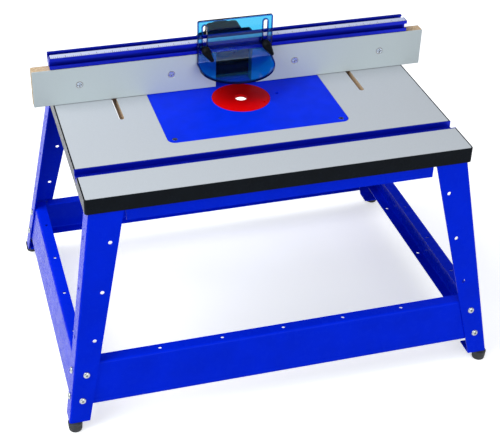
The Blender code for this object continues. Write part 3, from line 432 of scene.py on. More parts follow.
def make_anodised(name, colour, rough):
    """Dyed aluminium: fine drawing lines along the extrusion under a satin skin."""
    made, tree, shader, place = finish(name, colour, rough, 0.55)
    lines = grain(tree, place, 0.0005, (160.0, 1.0, 1.0), 2.0)
    tone(tree, shader, lines, [c * 0.86 for c in colour], [c * 1.12 for c in colour])
    polish(tree, shader, lines, rough - 0.06, rough + 0.08)
    relief(tree, shader, lines, 0.000012)
    set_inputs(shader, {"Specular IOR Level": 0.3})
    return made


anodised = make_anodised("blue_anodised_aluminium", (0.0005, 0.010, 0.46), 0.34)


def rounded_section(corners, radii, steps=3):
    """Round each corner of an outline, by less where a side is short; a radius of 0 keeps it sharp."""
    points = []
    count = len(corners)
    if not isinstance(radii, (list, tuple)):
        radii = [radii] * count
    for i, radius in enumerate(radii):
        if not radius:
            points.append(tuple(corners[i]))
            continue
        here = Vector(corners[i])
        back, ahead = Vector(corners[i - 1]) - here, Vector(corners[(i + 1) % count]) - here
        reach = min(radius, back.length * 0.45, ahead.length * 0.45)
        start, end = here + back.normalized() * reach, here + ahead.normalized() * reach
        for k in range(steps + 1):
            t = k / steps
            points.append(tuple((1 - t) ** 2 * start + 2 * t * (1 - t) * here + t ** 2 * end))
    return points


def drawn(section, low, high, axis="X", ease=0.0004):
    """An extrusion of a section along X or Y between two ends."""
    shape = flat_stock(section, [], low, high, ease)
    if axis == "X":
        turn = Matrix(((0, 0, 1, 0), (1, 0, 0, 0), (0, 1, 0, 0), (0, 0, 0, 1)))
    else:
        turn = Matrix(((1, 0, 0, 0), (0, 0, 1, 0), (0, 1, 0, 0), (0, 0, 0, 1)))
    bmesh.ops.transform(shape, matrix=turn, verts=shape.verts)
    return shape


def turned(profile, place=(0, 0, 0), direction=(0, 0, 1), sides=32, ripple=None):
    """Turn (radius, height) points round a line; ripple(angle, height) scales the radius."""
    quat = Vector(direction).to_track_quat("Z", "Y")
    stand = Matrix.Translation(place) @ quat.to_matrix().to_4x4()
    shape = bmesh.new()
    rings = []
    for radius, height in profile:
        if radius == 0:
            rings.append([shape.verts.new(stand @ Vector((0, 0, height)))])
            continue
        ring = []
        for i in range(sides):
            angle = 2 * math.pi * i / sides
            r = radius * (ripple(angle, height) if ripple else 1.0)
            ring.append(shape.verts.new(stand @ Vector((r * math.cos(angle), r * math.sin(angle), height))))
        rings.append(ring)
    pairs = list(zip(rings, rings[1:]))
    if profile[0][0] > 0:
        pairs.append((rings[-1], rings[0]))
    for one, two in pairs:
        for i in range(sides):
            j = (i + 1) % sides
            corners = [one[i % len(one)], one[j % len(one)], two[j % len(two)], two[i % len(two)]]
            shape.faces.new(list(dict.fromkeys(corners)))
    return shape


def merged(shapes):
    """Several shapes in one bmesh."""
    whole = bmesh.new()
    for shape in shapes:
        mesh = bpy.data.meshes.new("part")
        shape.to_mesh(mesh)
        shape.free()
        whole.from_mesh(mesh)
        bpy.data.meshes.remove(mesh)
    return whole


track_floor_z = track_low.z + TRACK_FLOOR
track_y = (track_low.y + track_high.y) / 2
section = rounded_section([
    (track_low.y, track_low.z), (track_high.y, track_low.z), (track_high.y, track_high.z),
    (track_y + TRACK_SLOT / 2, track_high.z), (track_y + TRACK_SLOT / 2, track_floor_z),
    (track_y - TRACK_SLOT / 2, track_floor_z), (track_y - TRACK_SLOT / 2, track_high.z),
    (track_low.y, track_high.z)], 0.0004)
first_screw = -TRACK_SCREW_STEP * (TRACK_SCREW_COUNT - 1) / 2
sinks = [turned([(0, 0.002), (COUNTERSINK_R + 0.0023, 0.002), (COUNTERSINK_R + 0.0003, 0),
                 (COUNTERSINK_R, -0.0003), (SCREW_SHANK_R + 0.0002, COUNTERSINK_R * -0.55),
                 (SCREW_SHANK_R + 0.0002, -0.006), (0, -0.006)],
                (first_screw + i * TRACK_SCREW_STEP, track_y, track_floor_z), sides=24)
         for i in range(TRACK_SCREW_COUNT)]
settle("mitre_channel", carve(drawn(section, track_low.x, track_high.x), sinks), anodised, "stand",
       ["mitre_track"])


def make_plated(name, colour=(0.46, 0.48, 0.50), rough=0.24):
    """Bright zinc plate with a trace of turning marks."""
    return uneven(name, colour, rough, (0.0015, 0.8, 1.15), (0.0008, -0.08, 0.12), (0.0004, 0.00001, 3.0),
                  0.5, 1.0)


zinc = make_plated("zinc_plate")


def cross_recess(width, top, depth):
    """The two arms of a driver's cross, cut down from a face at top, as tool shapes."""
    arms = []
    for quarter in (0, 1):
        arm = block((-width / 2, width / 2), (-width * 0.114, width * 0.114), (top - depth, top + 0.001))
        bmesh.ops.rotate(arm, verts=arm.verts, matrix=Matrix.Rotation(quarter * math.pi / 2, 3, "Z"))
        arms.append(arm)
    return arms


def flat_head_screw(head_r, shank_r, length, sides=24, cross=1.32):
    """Countersunk screw with a cross recess; its head's face is at the origin, its shank runs down."""
    blank = turned([(0, 0), (head_r - 0.0002, 0), (head_r, -0.0002), (shank_r, -(head_r - shank_r)),
                    (shank_r, -length), (0, -length)], sides=sides)
    return carve(blank, cross_recess(head_r * cross, 0, head_r * 0.55))


def row_tree():
    """Node tree that sets copies of an item out along a line."""
    tree = bpy.data.node_groups.new("row_of_items", "GeometryNodeTree")
    sockets = {}
    for label, kind in (("Item", "Object"), ("Start", "Vector"), ("Step", "Vector"), ("Count", "Int"),
                        ("Turn", "Rotation"), ("Finish", "Material")):
        sockets[label] = tree.interface.new_socket(label, in_out="INPUT", socket_type=f"NodeSocket{kind}")
    tree.interface.new_socket("Geometry", in_out="OUTPUT", socket_type="NodeSocketGeometry")
    given, out, line, item, copies, real, coat = [tree.nodes.new(kind) for kind in (
        "NodeGroupInput", "NodeGroupOutput", "GeometryNodeMeshLine", "GeometryNodeObjectInfo",
        "GeometryNodeInstanceOnPoints", "GeometryNodeRealizeInstances", "GeometryNodeSetMaterial")]
    line.mode = "OFFSET"
    for source, outlet, target, inlet in (
            (given, "Item", item, "Object"), (given, "Start", line, "Start Location"),
            (given, "Step", line, "Offset"), (given, "Count", line, "Count"),
            (given, "Turn", copies, "Rotation"), (given, "Finish", coat, "Material"),
            (line, "Mesh", copies, "Points"), (item, "Geometry", copies, "Instance"),
            (copies, "Instances", real, "Geometry"), (real, "Geometry", coat, "Geometry"),
            (coat, "Geometry", out, "Geometry")):
        tree.links.new(source.outputs[outlet], target.inputs[inlet])
    return tree, {label: socket.identifier for label, socket in sockets.items()}


row_nodes, row_inputs = row_tree()


def rows_of(shape, runs, direction, surface):
    """Copies of a shape as one shape, in rows that each have a start, a step and a count. Direction
    is where the shape's own up points."""
    item = as_object("row_item", shape)
    turn = Vector(direction).to_track_quat("Z", "Y").to_euler()
    made = []
    for start, step, count in runs:
        holder = bpy.data.objects.new("row", bpy.data.meshes.new("row"))
        scene.collection.objects.link(holder)
        layout = holder.modifiers.new("row", "NODES")
        layout.node_group = row_nodes
        for label, value in (("Item", item), ("Start", Vector(start)), ("Step", Vector(step)),
                             ("Count", count), ("Turn", turn), ("Finish", surface)):
            layout[row_inputs[label]] = value
        made.append(final_shape(holder))
    bpy.data.objects.remove(item)
    return merged(made)


track_run = ((first_screw, track_y, track_floor_z - 0.0004), (TRACK_SCREW_STEP, 0, 0), TRACK_SCREW_COUNT)
track_screw = flat_head_screw(COUNTERSINK_R, SCREW_SHANK_R, 0.0025)
settle("track_screws", rows_of(track_screw, [track_run], (0, 0, 1), zinc), zinc, "stand")

# ---------------------------------------------------------------- insert plate
# The router hangs from a thick blue plate of moulded phenolic, which lies flush in the board on a
# ledge. A screw holds each corner, and a small hole takes the starting pin.
ring_low, ring_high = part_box("reducer_ring")
RING_R = (ring_high.x - ring_low.x) / 2
PIN_HOLE = (0.062, plate_centre[1])
PLATE_SCREW_INSET = 0.0117
PLATE_SCREW_HEAD_R = 0.0044
PLATE_SCREW_SHANK_R = 0.0022
plate_screw_spots = [(sx * (plate_size[0] / 2 - PLATE_SCREW_INSET),
                      plate_centre[1] + sy * (plate_size[1] / 2 - PLATE_SCREW_INSET)) for sx in (-1, 1)
                     for sy in (-1, 1)]


def make_phenolic(name, colour, rough):
    """Moulded phenolic: a fine leathery pebble with a soft sheen."""
    return uneven(name, colour, rough, (0.03, 0.93, 1.05), (0.02, -0.04, 0.06), (0.0009, 0.00004, 2.0), 0.06)


plate_blue = make_phenolic("blue_phenolic", (0.0001, 0.024, 0.72), 0.42)
PAD_R = 0.080
screw_holes = [circle(PLATE_SCREW_SHANK_R + 0.0003, spot, 24) for spot in plate_screw_spots]
through = [circle(RING_R - 0.0035, plate_centre, 96), circle(0.003, PIN_HOLE, 24)]
plate_blank = flat_stock(rounded_rectangle(*plate_size, PLATE_CORNER, plate_centre, 10),
                         through + screw_holes, plate_high.z - PLATE_THICK, plate_high.z, 0.0004)
pad = flat_stock(circle(PAD_R, plate_centre, 96), through, plate_low.z,
                 plate_high.z - PLATE_THICK + 0.0002, 0.0002)
seat = turned([(0, ring_low.z - 0.0003), (RING_R + 0.0003, ring_low.z - 0.0003),
               (RING_R + 0.0003, plate_high.z - 0.0003), (RING_R + 0.0013, plate_high.z + 0.0007),
               (0, plate_high.z + 0.0007)], (*plate_centre, 0), sides=96)
dimples = [turned([(0, 0.002), (PLATE_SCREW_HEAD_R + 0.0023, 0.002), (PLATE_SCREW_HEAD_R + 0.0002, -0.0001),
                   (PLATE_SCREW_SHANK_R + 0.0001, -PLATE_SCREW_HEAD_R * 0.6), (0, -PLATE_SCREW_HEAD_R * 0.6)],
                  (*spot, plate_high.z), sides=24) for spot in plate_screw_spots]
settle("insert_plate_blue", merged([carve(plate_blank, [seat, *dimples]), pad]), plate_blue, "stand",
       ["insert_plate"])

plate_runs = [((sx * (plate_size[0] / 2 - PLATE_SCREW_INSET), plate_screw_spots[0][1], plate_high.z - 0.0003),
               (0, plate_size[1] - 2 * PLATE_SCREW_INSET, 0), 2) for sx in (-1, 1)]
corner_screw = flat_head_screw(PLATE_SCREW_HEAD_R, PLATE_SCREW_SHANK_R - 0.0002, 0.0092)
settle("insert_plate_screws", rows_of(corner_screw, plate_runs, (0, 0, 1), zinc), zinc, "stand")

# ---------------------------------------------------------------- reducer ring
# A red moulded ring twists into the plate's bore and closes it down to the size of the bit. Two
# small holes near its rim take the pins of the ring spanner.
BIT_HOLE_R = 0.010
SPANNER_HOLE_R = 0.0016
SPANNER_AT = 0.041
SPANNER_ANGLES = (125, -35)
ring_red = make_phenolic("red_moulded_ring", (0.66, 0.0003, 0.0005), 0.40)
ring_holes = [circle(BIT_HOLE_R, plate_centre, 48)]
ring_holes += [circle(SPANNER_HOLE_R, (SPANNER_AT * math.cos(math.radians(angle)),
                                       plate_centre[1] + SPANNER_AT * math.sin(math.radians(angle))), 20)
               for angle in SPANNER_ANGLES]
settle("reducer_ring_red",
       flat_stock(circle(RING_R, plate_centre, 96), ring_holes, ring_low.z, ring_high.z, 0.0004),
       ring_red, "reducer_ring", ["reducer_ring"])

# ---------------------------------------------------------------- legs
# Each leg is an angle folded from sheet steel. It tapers and splays outwards towards the floor, and
# is powder coated blue. Small holes run down both flanges, and a tab at each end is folded in.
SHEET = 0.0023
BEND_R = 0.0036
LEG_TOP = (0.2997, 0.2015)
LEG_SPLAY = (0.057, 0.0545)
LEG_TOP_Z = board_low.z - 0.0003
LEG_BOTTOM_Z = 0.0166
FRONT_FLANGE = (0.0528, 0.0329)
SIDE_FLANGE = (0.035, 0.028)
LEG_HOLE_R = 0.0032
LEG_HOLE_INSETS = (0.013, 0.013)
LEG_HOLE_Z = (0.318, 0.2375, 0.157)
BOLT_Z = (0.100, 0.055)
BOLT_INSETS = (0.0175, 0.0125)
BOLT_R = 0.003
BOLT_HOLE_R = BOLT_R + 0.0003
TAB_REACH = 0.030
TAB_HOLE_R = 0.0021

# Baked powder: strong even colour, fine orange peel and a gloss on top, whose reflections get a painted
# sky-blue tint.
powder_blue = uneven("blue_powder_coat", (0.0001, 0.018, 0.70), 0.24, (0.06, 0.94, 1.05),
                     (0.012, -0.05, 0.08), (0.0022, 0.00001, 2.0), 0.05)
# Painted reflection: the gloss tints everything it mirrors sky-blue.
set_inputs(powder_blue.node_tree.nodes["Principled BSDF"], {"Specular Tint": (0.45, 0.85, 1.0, 1.0)})


def down_leg(z):
    """Runs from 0 at the top of a leg to 1 at its bottom."""
    return (LEG_TOP_Z - z) / (LEG_TOP_Z - LEG_BOTTOM_Z)


def leg_corner(z):
    """Half spans of the legs' outer corners at a height."""
    return [top + down_leg(z) * splay for top, splay in zip(LEG_TOP, LEG_SPLAY)]


def leg_flanges(z):
    """Widths of the front and side flanges at a height."""
    return [top + down_leg(z) * (bottom - top) for top, bottom in (FRONT_FLANGE, SIDE_FLANGE)]


def leg_section(z, sx, sy):
    """The folded angle at a height, with a round bend."""
    cx, cy = leg_corner(z)
    front, side = leg_flanges(z)
    bend = [math.pi / 2 * i / 5 for i in range(6)]
    middle = (cx - BEND_R, cy - BEND_R)
    outer = [(middle[0] + BEND_R * math.sin(a), middle[1] + BEND_R * math.cos(a)) for a in bend]
    inside = BEND_R - SHEET
    inner = [(middle[0] + inside * math.cos(a), middle[1] + inside * math.sin(a)) for a in bend]
    loop = [(cx - front, cy), *outer, (cx, cy - side), (cx - SHEET, cy - side), *inner,
            (cx - front, cy - SHEET)]
    return [Vector((sx * x, sy * y, z)) for x, y in loop]


def stacked(rings):
    """A solid through a stack of matching loops."""
    shape = bmesh.new()
    loops = [[shape.verts.new(p) for p in ring] for ring in rings]
    shape.faces.new(loops[0])
    shape.faces.new(loops[-1])
    for one, two in zip(loops, loops[1:]):
        for i in range(len(one)):
            j = (i + 1) % len(one)
            shape.faces.new((one[i], one[j], two[j], two[i]))
    return shape


def flange_spots(sx, sy, heights, insets):
    """Spots on the outer faces of a leg's front flange and of its side flange, in from their free
    edges, each with its face's outward normal."""
    tall = LEG_TOP_Z - LEG_BOTTOM_Z
    front_way = Vector((0, sy * tall, LEG_SPLAY[1])).normalized()
    side_way = Vector((sx * tall, 0, LEG_SPLAY[0])).normalized()
    on_front, on_side = [], []
    for z in heights:
        (cx, cy), (front, side) = leg_corner(z), leg_flanges(z)
        on_front.append((Vector((sx * (cx - front + insets[0]), sy * cy, z)), front_way))
        on_side.append((Vector((sx * cx, sy * (cy - side + insets[1]), z)), side_way))
    return on_front, on_side


def drill(spot, direction, radius, depth, sides=20):
    """A drill's shape through a spot, depth each way."""
    return turned([(0, -depth), (radius, -depth), (radius, depth), (0, depth)], spot, direction, sides)


def leg_screw_spots(sx, sy):
    """Where the screws pass through a leg's top tab."""
    return [(sx * (LEG_TOP[0] - dx), sy * (LEG_TOP[1] - TAB_REACH * 0.6))
            for dx in (0.014, FRONT_FLANGE[0] - 0.012)]


ends = (("front", -1), ("rear", 1))
sides_of = (("left", -1), ("right", 1))
leg_places = [(f"{end}_{side}", sx, sy) for end, sy in ends for side, sx in sides_of]
for corner, sx, sy in leg_places:
    angle = stacked([leg_section(LEG_BOTTOM_Z, sx, sy), leg_section(LEG_TOP_Z, sx, sy)])
    tabs = []
    for z, width in ((LEG_TOP_Z, FRONT_FLANGE[0]), (LEG_BOTTOM_Z + SHEET, FRONT_FLANGE[1])):
        cx, cy = leg_corner(z)
        tabs.append(block(sorted((sx * (cx - BEND_R), sx * (cx - width))),
                          sorted((sy * (cy - SHEET / 2), sy * (cy - TAB_REACH))), (z - SHEET, z)))
    drills = [drill((x, y, LEG_TOP_Z), (0, 0, 1), TAB_HOLE_R, 0.006) for x, y in leg_screw_spots(sx, sy)]
    for heights, insets, radius, depth in ((LEG_HOLE_Z, LEG_HOLE_INSETS, LEG_HOLE_R, 0.008),
                                           (BOLT_Z, BOLT_INSETS, BOLT_HOLE_R, 0.006)):
        for spots in flange_spots(sx, sy, heights, insets):
            drills += [drill(spot, way, radius, depth) for spot, way in spots]
    settle(f"folded_leg_{corner}", carve(carve(angle, tabs, "UNION"), [merged(drills)]), powder_blue, "stand",
           [f"leg_{corner}"], ease=0.0003)

# ---------------------------------------------------------------- feet
# A black rubber foot is plugged into the bottom tab of each leg. It tapers to the floor and has a
# shallow groove round its skirt.
FOOT_R = 0.0117


def make_rubber(name):
    """Moulded rubber: nearly black and matt, with dustier patches."""
    made, tree, shader, place = finish(name, (0.02, 0.022, 0.025), 0.7)
    tone(tree, shader, grain(tree, place, 0.006), (0.012, 0.013, 0.015), (0.035, 0.037, 0.042))
    polish(tree, shader, grain(tree, place, 0.003), 0.55, 0.8)
    relief(tree, shader, grain(tree, place, 0.0006), 0.00005)
    return made


rubber = make_rubber("black_rubber")
for corner, sx, sy in leg_places:
    foot_x, foot_y, _ = centre_of(f"foot_{corner}")
    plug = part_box(f"foot_{corner}")[1].z - 0.0002
    top = LEG_BOTTOM_Z - 0.0003
    profile = [(0, 0.0004), (FOOT_R - 0.005, 0.0004), (FOOT_R - 0.0045, 0), (FOOT_R - 0.0022, 0),
               (FOOT_R - 0.0014, 0.0007), (FOOT_R - 0.0009, 0.0025), (FOOT_R - 0.0004, 0.009),
               (FOOT_R - 0.0009, 0.0098), (FOOT_R - 0.0009, 0.0112), (FOOT_R - 0.0002, 0.012),
               (FOOT_R, top - 0.0012), (FOOT_R - 0.0012, top), (0.0027, top), (0.0027, top + 0.003),
               (0.0036, top + 0.0035), (0.002, plug), (0, plug)]
    settle(f"rubber_foot_{corner}", turned(profile, (foot_x, foot_y, 0), sides=40), rubber, "stand",
           [f"foot_{corner}"], crease=50)

# ---------------------------------------------------------------- stretchers
# Four folded channels tie the legs together near the floor. Their webs lean with the legs, and a row
# of small holes runs along each top flange.
STRETCHER_LOW_Z, STRETCHER_TOP_Z = [corner.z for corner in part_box("stretcher_left")]
STRETCHER_FLANGE = 0.020
STRETCHER_HOLE_R = 0.003
STRETCHER_HOLE_IN = 0.0115
HOLE_STEP = 0.1016
BOLT_DRILL_IN = 0.0035
BOLT_DRILL = 0.0045
GAP = 0.0003


def channel_section(sign, face):
    """Channel with its flanges turned in, from its outer face's place at a height."""
    top, low = STRETCHER_TOP_Z, STRETCHER_LOW_Z
    corners = [(face(low), low), (face(top), top), (face(top) - STRETCHER_FLANGE, top),
               (face(top) - STRETCHER_FLANGE, top - SHEET), (face(top - SHEET) - SHEET, top - SHEET),
               (face(low + SHEET) - SHEET, low + SHEET), (face(low) - STRETCHER_FLANGE, low + SHEET),
               (face(low) - STRETCHER_FLANGE, low)]
    edge = 0.0004
    return [(sign * u, v)
            for u, v in rounded_section(corners, [0.0045, 0.0045, edge, edge, 0.003, 0.003, edge, edge],
                                        4)]


def front_face(z):
    """Outer face of a front or rear stretcher's web."""
    return leg_corner(z)[1] - SHEET - GAP


def side_face(z):
    """Outer face of a side stretcher's web."""
    return leg_corner(z)[0] - SHEET - GAP


for end, sy in ends:
    low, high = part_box(f"stretcher_{end}")
    flange_half = leg_corner(STRETCHER_TOP_Z)[0] - 2 * SHEET - GAP - STRETCHER_FLANGE - 0.003
    channel = drawn(channel_section(sy, front_face), low.x, high.x)
    behind = [(front_face(z) - SHEET - 0.0002) for z in (STRETCHER_LOW_Z - 0.01, STRETCHER_TOP_Z + 0.01)]
    notch = [(sy * behind[0], STRETCHER_LOW_Z - 0.01), (sy * behind[1], STRETCHER_TOP_Z + 0.01),
             (sy * (behind[1] - 0.05), STRETCHER_TOP_Z + 0.01),
             (sy * (behind[0] - 0.05), STRETCHER_LOW_Z - 0.01)]
    notches = [drawn(notch, flange_half, high.x + 0.01, ease=0.0001),
               drawn(notch, low.x - 0.01, -flange_half, ease=0.0001)]
    hole_y = sy * (front_face(STRETCHER_TOP_Z) - STRETCHER_HOLE_IN)
    drills = [drill((i * HOLE_STEP, hole_y, STRETCHER_TOP_Z), (0, 0, 1), STRETCHER_HOLE_R, 0.006)
              for i in range(-2, 3)]
    for side, sx in sides_of:
        drills += [drill(spot - BOLT_DRILL_IN * way, way, BOLT_HOLE_R, BOLT_DRILL)
                   for spot, way in flange_spots(sx, sy, BOLT_Z, BOLT_INSETS)[0]]
    settle(f"channel_{end}", carve(channel, [*notches, merged(drills)]), powder_blue, "stand",
           [f"stretcher_{end}"])

for side, sx in sides_of:
    low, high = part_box(f"stretcher_{side}")
    channel = drawn(channel_section(sx, side_face), low.y, high.y, "Y")
    drills = [drill((sx * (side_face(z) - STRETCHER_HOLE_IN), i * HOLE_STEP, z), (0, 0, 1),
                    STRETCHER_HOLE_R, 0.006)
              for z, steps in ((STRETCHER_TOP_Z, (-1.5, -0.5, 0.5, 1.5)),
                               (STRETCHER_LOW_Z, (-1.5, 0, 1.5))) for i in steps]
    for end, sy in ends:
        drills += [drill(spot - BOLT_DRILL_IN * way, way, BOLT_HOLE_R, BOLT_DRILL)
                   for spot, way in flange_spots(sx, sy, BOLT_Z, BOLT_INSETS)[1]]
    settle(f"channel_{side}", carve(channel, [merged(drills)]), powder_blue, "stand",
           [f"stretcher_{side}"])

# ---------------------------------------------------------------- top rails
# A folded angle under the front edge and one under the rear edge keep the board straight. Pan-head
# screws go up through the rails' flanges and the legs' tabs.
RAIL_FLANGE = 0.020
RAIL_SCREW_STEP = 0.140
RAIL_SCREW_IN = 0.012
for end, sy in ends:
    low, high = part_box(f"top_rail_{end}")
    face = max(abs(low.y), abs(high.y))
    corners = [(face, low.z), (face, high.z), (face - RAIL_FLANGE, high.z),
               (face - RAIL_FLANGE, high.z - SHEET), (face - SHEET, high.z - SHEET),
               (face - SHEET, low.z)]
    section = [(sy * u, v)
               for u, v in rounded_section(corners, [0.0004, 0.0036, 0.0004, 0.0004, 0.002, 0.0004], 4)]
    drills = [drill((i * RAIL_SCREW_STEP, sy * (face - RAIL_SCREW_IN), high.z), (0, 0, 1), TAB_HOLE_R, 0.006)
              for i in (-1.5, -0.5, 0.5, 1.5)]
    settle(f"folded_top_rail_{end}", carve(drawn(section, low.x, high.x), [merged(drills)]), powder_blue,
           "stand", [f"top_rail_{end}"])

pan_head = turned([(0, 0.0022), (0.0012, 0.0022), (0.0026, 0.0018), (0.0034, 0.0010), (0.0036, 0.0003),
                   (0.0036, 0), (0.0017, 0), (0.0017, -0.0020), (0, -0.0020)], sides=24)
pan_screw = carve(pan_head, cross_recess(0.0036, 0.0022, 0.0012))
under = LEG_TOP_Z - SHEET - 0.0001
runs = [((-1.5 * RAIL_SCREW_STEP, sy * (face - RAIL_SCREW_IN), under), (RAIL_SCREW_STEP, 0, 0), 4)
        for end, sy in ends]
for corner, sx, sy in leg_places:
    first, second = leg_screw_spots(sx, sy)
    runs.append(((*first, under), (second[0] - first[0], 0, 0), 2))
settle("underside_screws", rows_of(pan_screw, runs, (0, 0, -1), zinc), zinc, "stand")

# ---------------------------------------------------------------- stretcher bolts
# Four button-head bolts fix the stretchers to each leg. Each has a driver socket in its head and a
# hexagon nut behind.
BOLT_HEAD_R = 0.0055
BOLT_HEAD_H = 0.003
NUT_R = 0.0058
NUT_H = 0.005
GRIP = 2 * SHEET + 2 * GAP


def hexagon(radius, low, high, place, direction, chamfer=0.0006):
    """A nut's body: six flats with its corners turned down."""
    def ripple(angle, height):
        return 0.866 / math.cos((angle % (math.pi / 3)) - math.pi / 6)
    profile = [(0, low), (radius * 0.88, low), (radius, low + chamfer), (radius, high - chamfer),
               (radius * 0.88, high), (0, high)]
    return turned(profile, place, direction, 36, ripple)


def button_bolt(place, direction):
    """One bolt with its nut run up tight."""
    head = turned([(0, BOLT_HEAD_H), (BOLT_HEAD_R * 0.55, BOLT_HEAD_H - 0.0001),
                   (BOLT_HEAD_R * 0.8, BOLT_HEAD_H - 0.0006), (BOLT_HEAD_R * 0.95, BOLT_HEAD_H - 0.0014),
                   (BOLT_HEAD_R, BOLT_HEAD_H - 0.0023), (BOLT_HEAD_R, GAP), (BOLT_R, GAP),
                   (BOLT_R, -GRIP - 0.001), (0, -GRIP - 0.001)], place, direction, 28)
    socket = turned([(0, 0.0004), (0.0023, 0.0006), (0.0023, 0.006), (0, 0.006)], place, direction, 6)
    return merged([carve(head, [socket]), hexagon(NUT_R, -GRIP - NUT_H, -GRIP, place, direction)])


for corner, sx, sy in leg_places:
    on_front, on_side = flange_spots(sx, sy, BOLT_Z, BOLT_INSETS)
    for number, (spot, way) in enumerate(on_front + on_side, 1):
        settle(f"button_bolt_{corner}_{number}", button_bolt(spot, way), zinc, "stand",
               [f"stretcher_bolt_{corner}_{number}"], crease=40)

# ---------------------------------------------------------------- fence rail
# The fence is one blue extrusion: a rail with a T-slot along its front and one along its top, a back
# plate behind the facings, and a foot on the table. A mouth in the plate lets the chips through.
rail_low, rail_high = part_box("fence_rail")
table_z = board_high.z
FACING_FRONT, FACING_BACK = [corner.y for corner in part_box("facing_left")]
RAIL_TOP = table_z + 0.084
RAIL_BOTTOM = table_z + 0.065
RAIL_REAR = FACING_FRONT + 0.0295
RAIL_LAND = 0.015
MOUTH_LOW = table_z + 0.0708
MOUTH_HIGH = table_z + 0.0786
RAIL_WALL = 0.0023
RAIL_LIP = 0.003
RAIL_WELL = 0.009
BACK_PLATE = 0.004
SLOT_TRAVEL = 0.022
DUST_MOUTH = (0.076, 0.056)
bolt_x = [centre_of(f"facing_bolt_right_{n}")[0] for n in (1, 2)]
bolt_z = centre_of("facing_bolt_right_1")[2]
y0, plate_y = FACING_FRONT, FACING_BACK + GAP
foot_top = table_z + GAP + BACK_PLATE
up_front, up_back = y0 + RAIL_WELL + 0.0035, RAIL_REAR - 0.0025
up_low, up_high = RAIL_TOP - 0.0085, RAIL_TOP - 0.003
corners = [(y0, RAIL_BOTTOM), (y0, MOUTH_LOW), (y0 + RAIL_LIP, MOUTH_LOW),
           (y0 + RAIL_LIP, RAIL_BOTTOM + RAIL_WALL), (y0 + RAIL_WELL, RAIL_BOTTOM + RAIL_WALL),
           (y0 + RAIL_WELL, RAIL_TOP - RAIL_WALL), (y0 + RAIL_LIP, RAIL_TOP - RAIL_WALL),
           (y0 + RAIL_LIP, MOUTH_HIGH), (y0, MOUTH_HIGH), (y0, RAIL_TOP), (y0 + RAIL_LAND, RAIL_TOP),
           (y0 + RAIL_LAND, up_high), (up_front, up_high), (up_front, up_low), (up_back, up_low),
           (up_back, up_high), (RAIL_REAR - 0.005, up_high), (RAIL_REAR - 0.005, RAIL_TOP),
           (RAIL_REAR, RAIL_TOP), (RAIL_REAR, RAIL_BOTTOM), (plate_y + BACK_PLATE, RAIL_BOTTOM),
           (plate_y + BACK_PLATE, foot_top), (rail_high.y, foot_top), (rail_high.y, table_z + GAP),
           (plate_y, table_z + GAP), (plate_y, RAIL_BOTTOM)]
extrusion = drawn(rounded_section(corners, 0.0005, 2), rail_low.x, rail_high.x)


def wall_stock(outline, holes, front, back, ease=0.0001):
    """A sheet that stands up between a front and a back, with its outline seen from the front."""
    shape = flat_stock(outline, holes, -back, -front, ease)
    bmesh.ops.transform(shape, matrix=Matrix(((1, 0, 0, 0), (0, 0, -1, 0), (0, 1, 0, 0), (0, 0, 0, 1))),
                        verts=shape.verts)
    return shape


openings = [wall_stock(rounded_rectangle(*DUST_MOUTH, 0.008, (0, foot_top + DUST_MOUTH[1] / 2)), [],
                       plate_y - 0.005, plate_y + 0.012)]
for side, sx in sides_of:
    for x in bolt_x:
        slot = round_slot((sx * x, bolt_z), 2 * BOLT_R + 0.001, 2 * (SLOT_TRAVEL + BOLT_R + 0.003), False)
        openings.append(wall_stock(slot, [], plate_y - 0.004, plate_y + 0.009))
    openings.append(drill((sx * CLAMP_X, CLAMP_Y, foot_top), (0, 0, 1), BOLT_HOLE_R, 0.01))
settle("fence_extrusion", carve(extrusion, openings), anodised, "fence", ["fence_rail"])

# ---------------------------------------------------------------- scale tape
# A pale steel tape is stuck along the rail's flat land, with a tick at every eighth of an inch and
# longer ones at halves and wholes.
tape_low, tape_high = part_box("scale_tape")
INCH = 0.0254


def make_tape(name, enamel=(0.52, 0.56, 0.76), ink=(0.05, 0.05, 0.08)):
    """Pale enamel with printed ticks that start at the tape's front edge."""
    made, tree, shader, place = finish(name, enamel, 0.4)
    x, y, _ = axes_of(tree, place)
    printed = 0.0
    for pitch, reach, width in ((INCH / 8, 0.0030, 0.0005), (INCH / 2, 0.0048, 0.0006),
                                (INCH, 0.0068, 0.0008)):
        thin = calc(tree, "LESS_THAN", calc(tree, "PINGPONG", x, pitch / 2), width / 2)
        near = calc(tree, "LESS_THAN", y, tape_low.y + reach)
        printed = calc(tree, "MAXIMUM", printed, calc(tree, "MULTIPLY", thin, near))
    mix(tree, shader, printed, (*enamel, 1.0), (*ink, 1.0))
    polish(tree, shader, grain(tree, place, 0.01), 0.34, 0.46)
    return made


strip = flat_stock(rounded_rectangle(tape_high.x - tape_low.x, tape_high.y - tape_low.y, 0.0012,
                                     (0, (tape_low.y + tape_high.y) / 2)), [], tape_low.z, tape_high.z,
                   0.0001)
settle("printed_tape", strip, make_tape("printed_tape"), "fence", ["scale_tape"])

# ---------------------------------------------------------------- facings
# Two laminated boards face the fence, one on each side of the bit. Each slides along on two
# countersunk bolts, whose hand knobs are behind the back plate.
facing_low, facing_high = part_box("facing_left")
facing_grey = make_laminated("facing_laminate", (0.52, 0.580, 0.595), "Y", facing_low.y, facing_high.y)
bright_zinc = make_plated("bright_zinc_plate", (0.62, 0.68, 0.76), 0.42)
FACING_HEAD_R = 0.006
HEAD_GAP = 0.0008

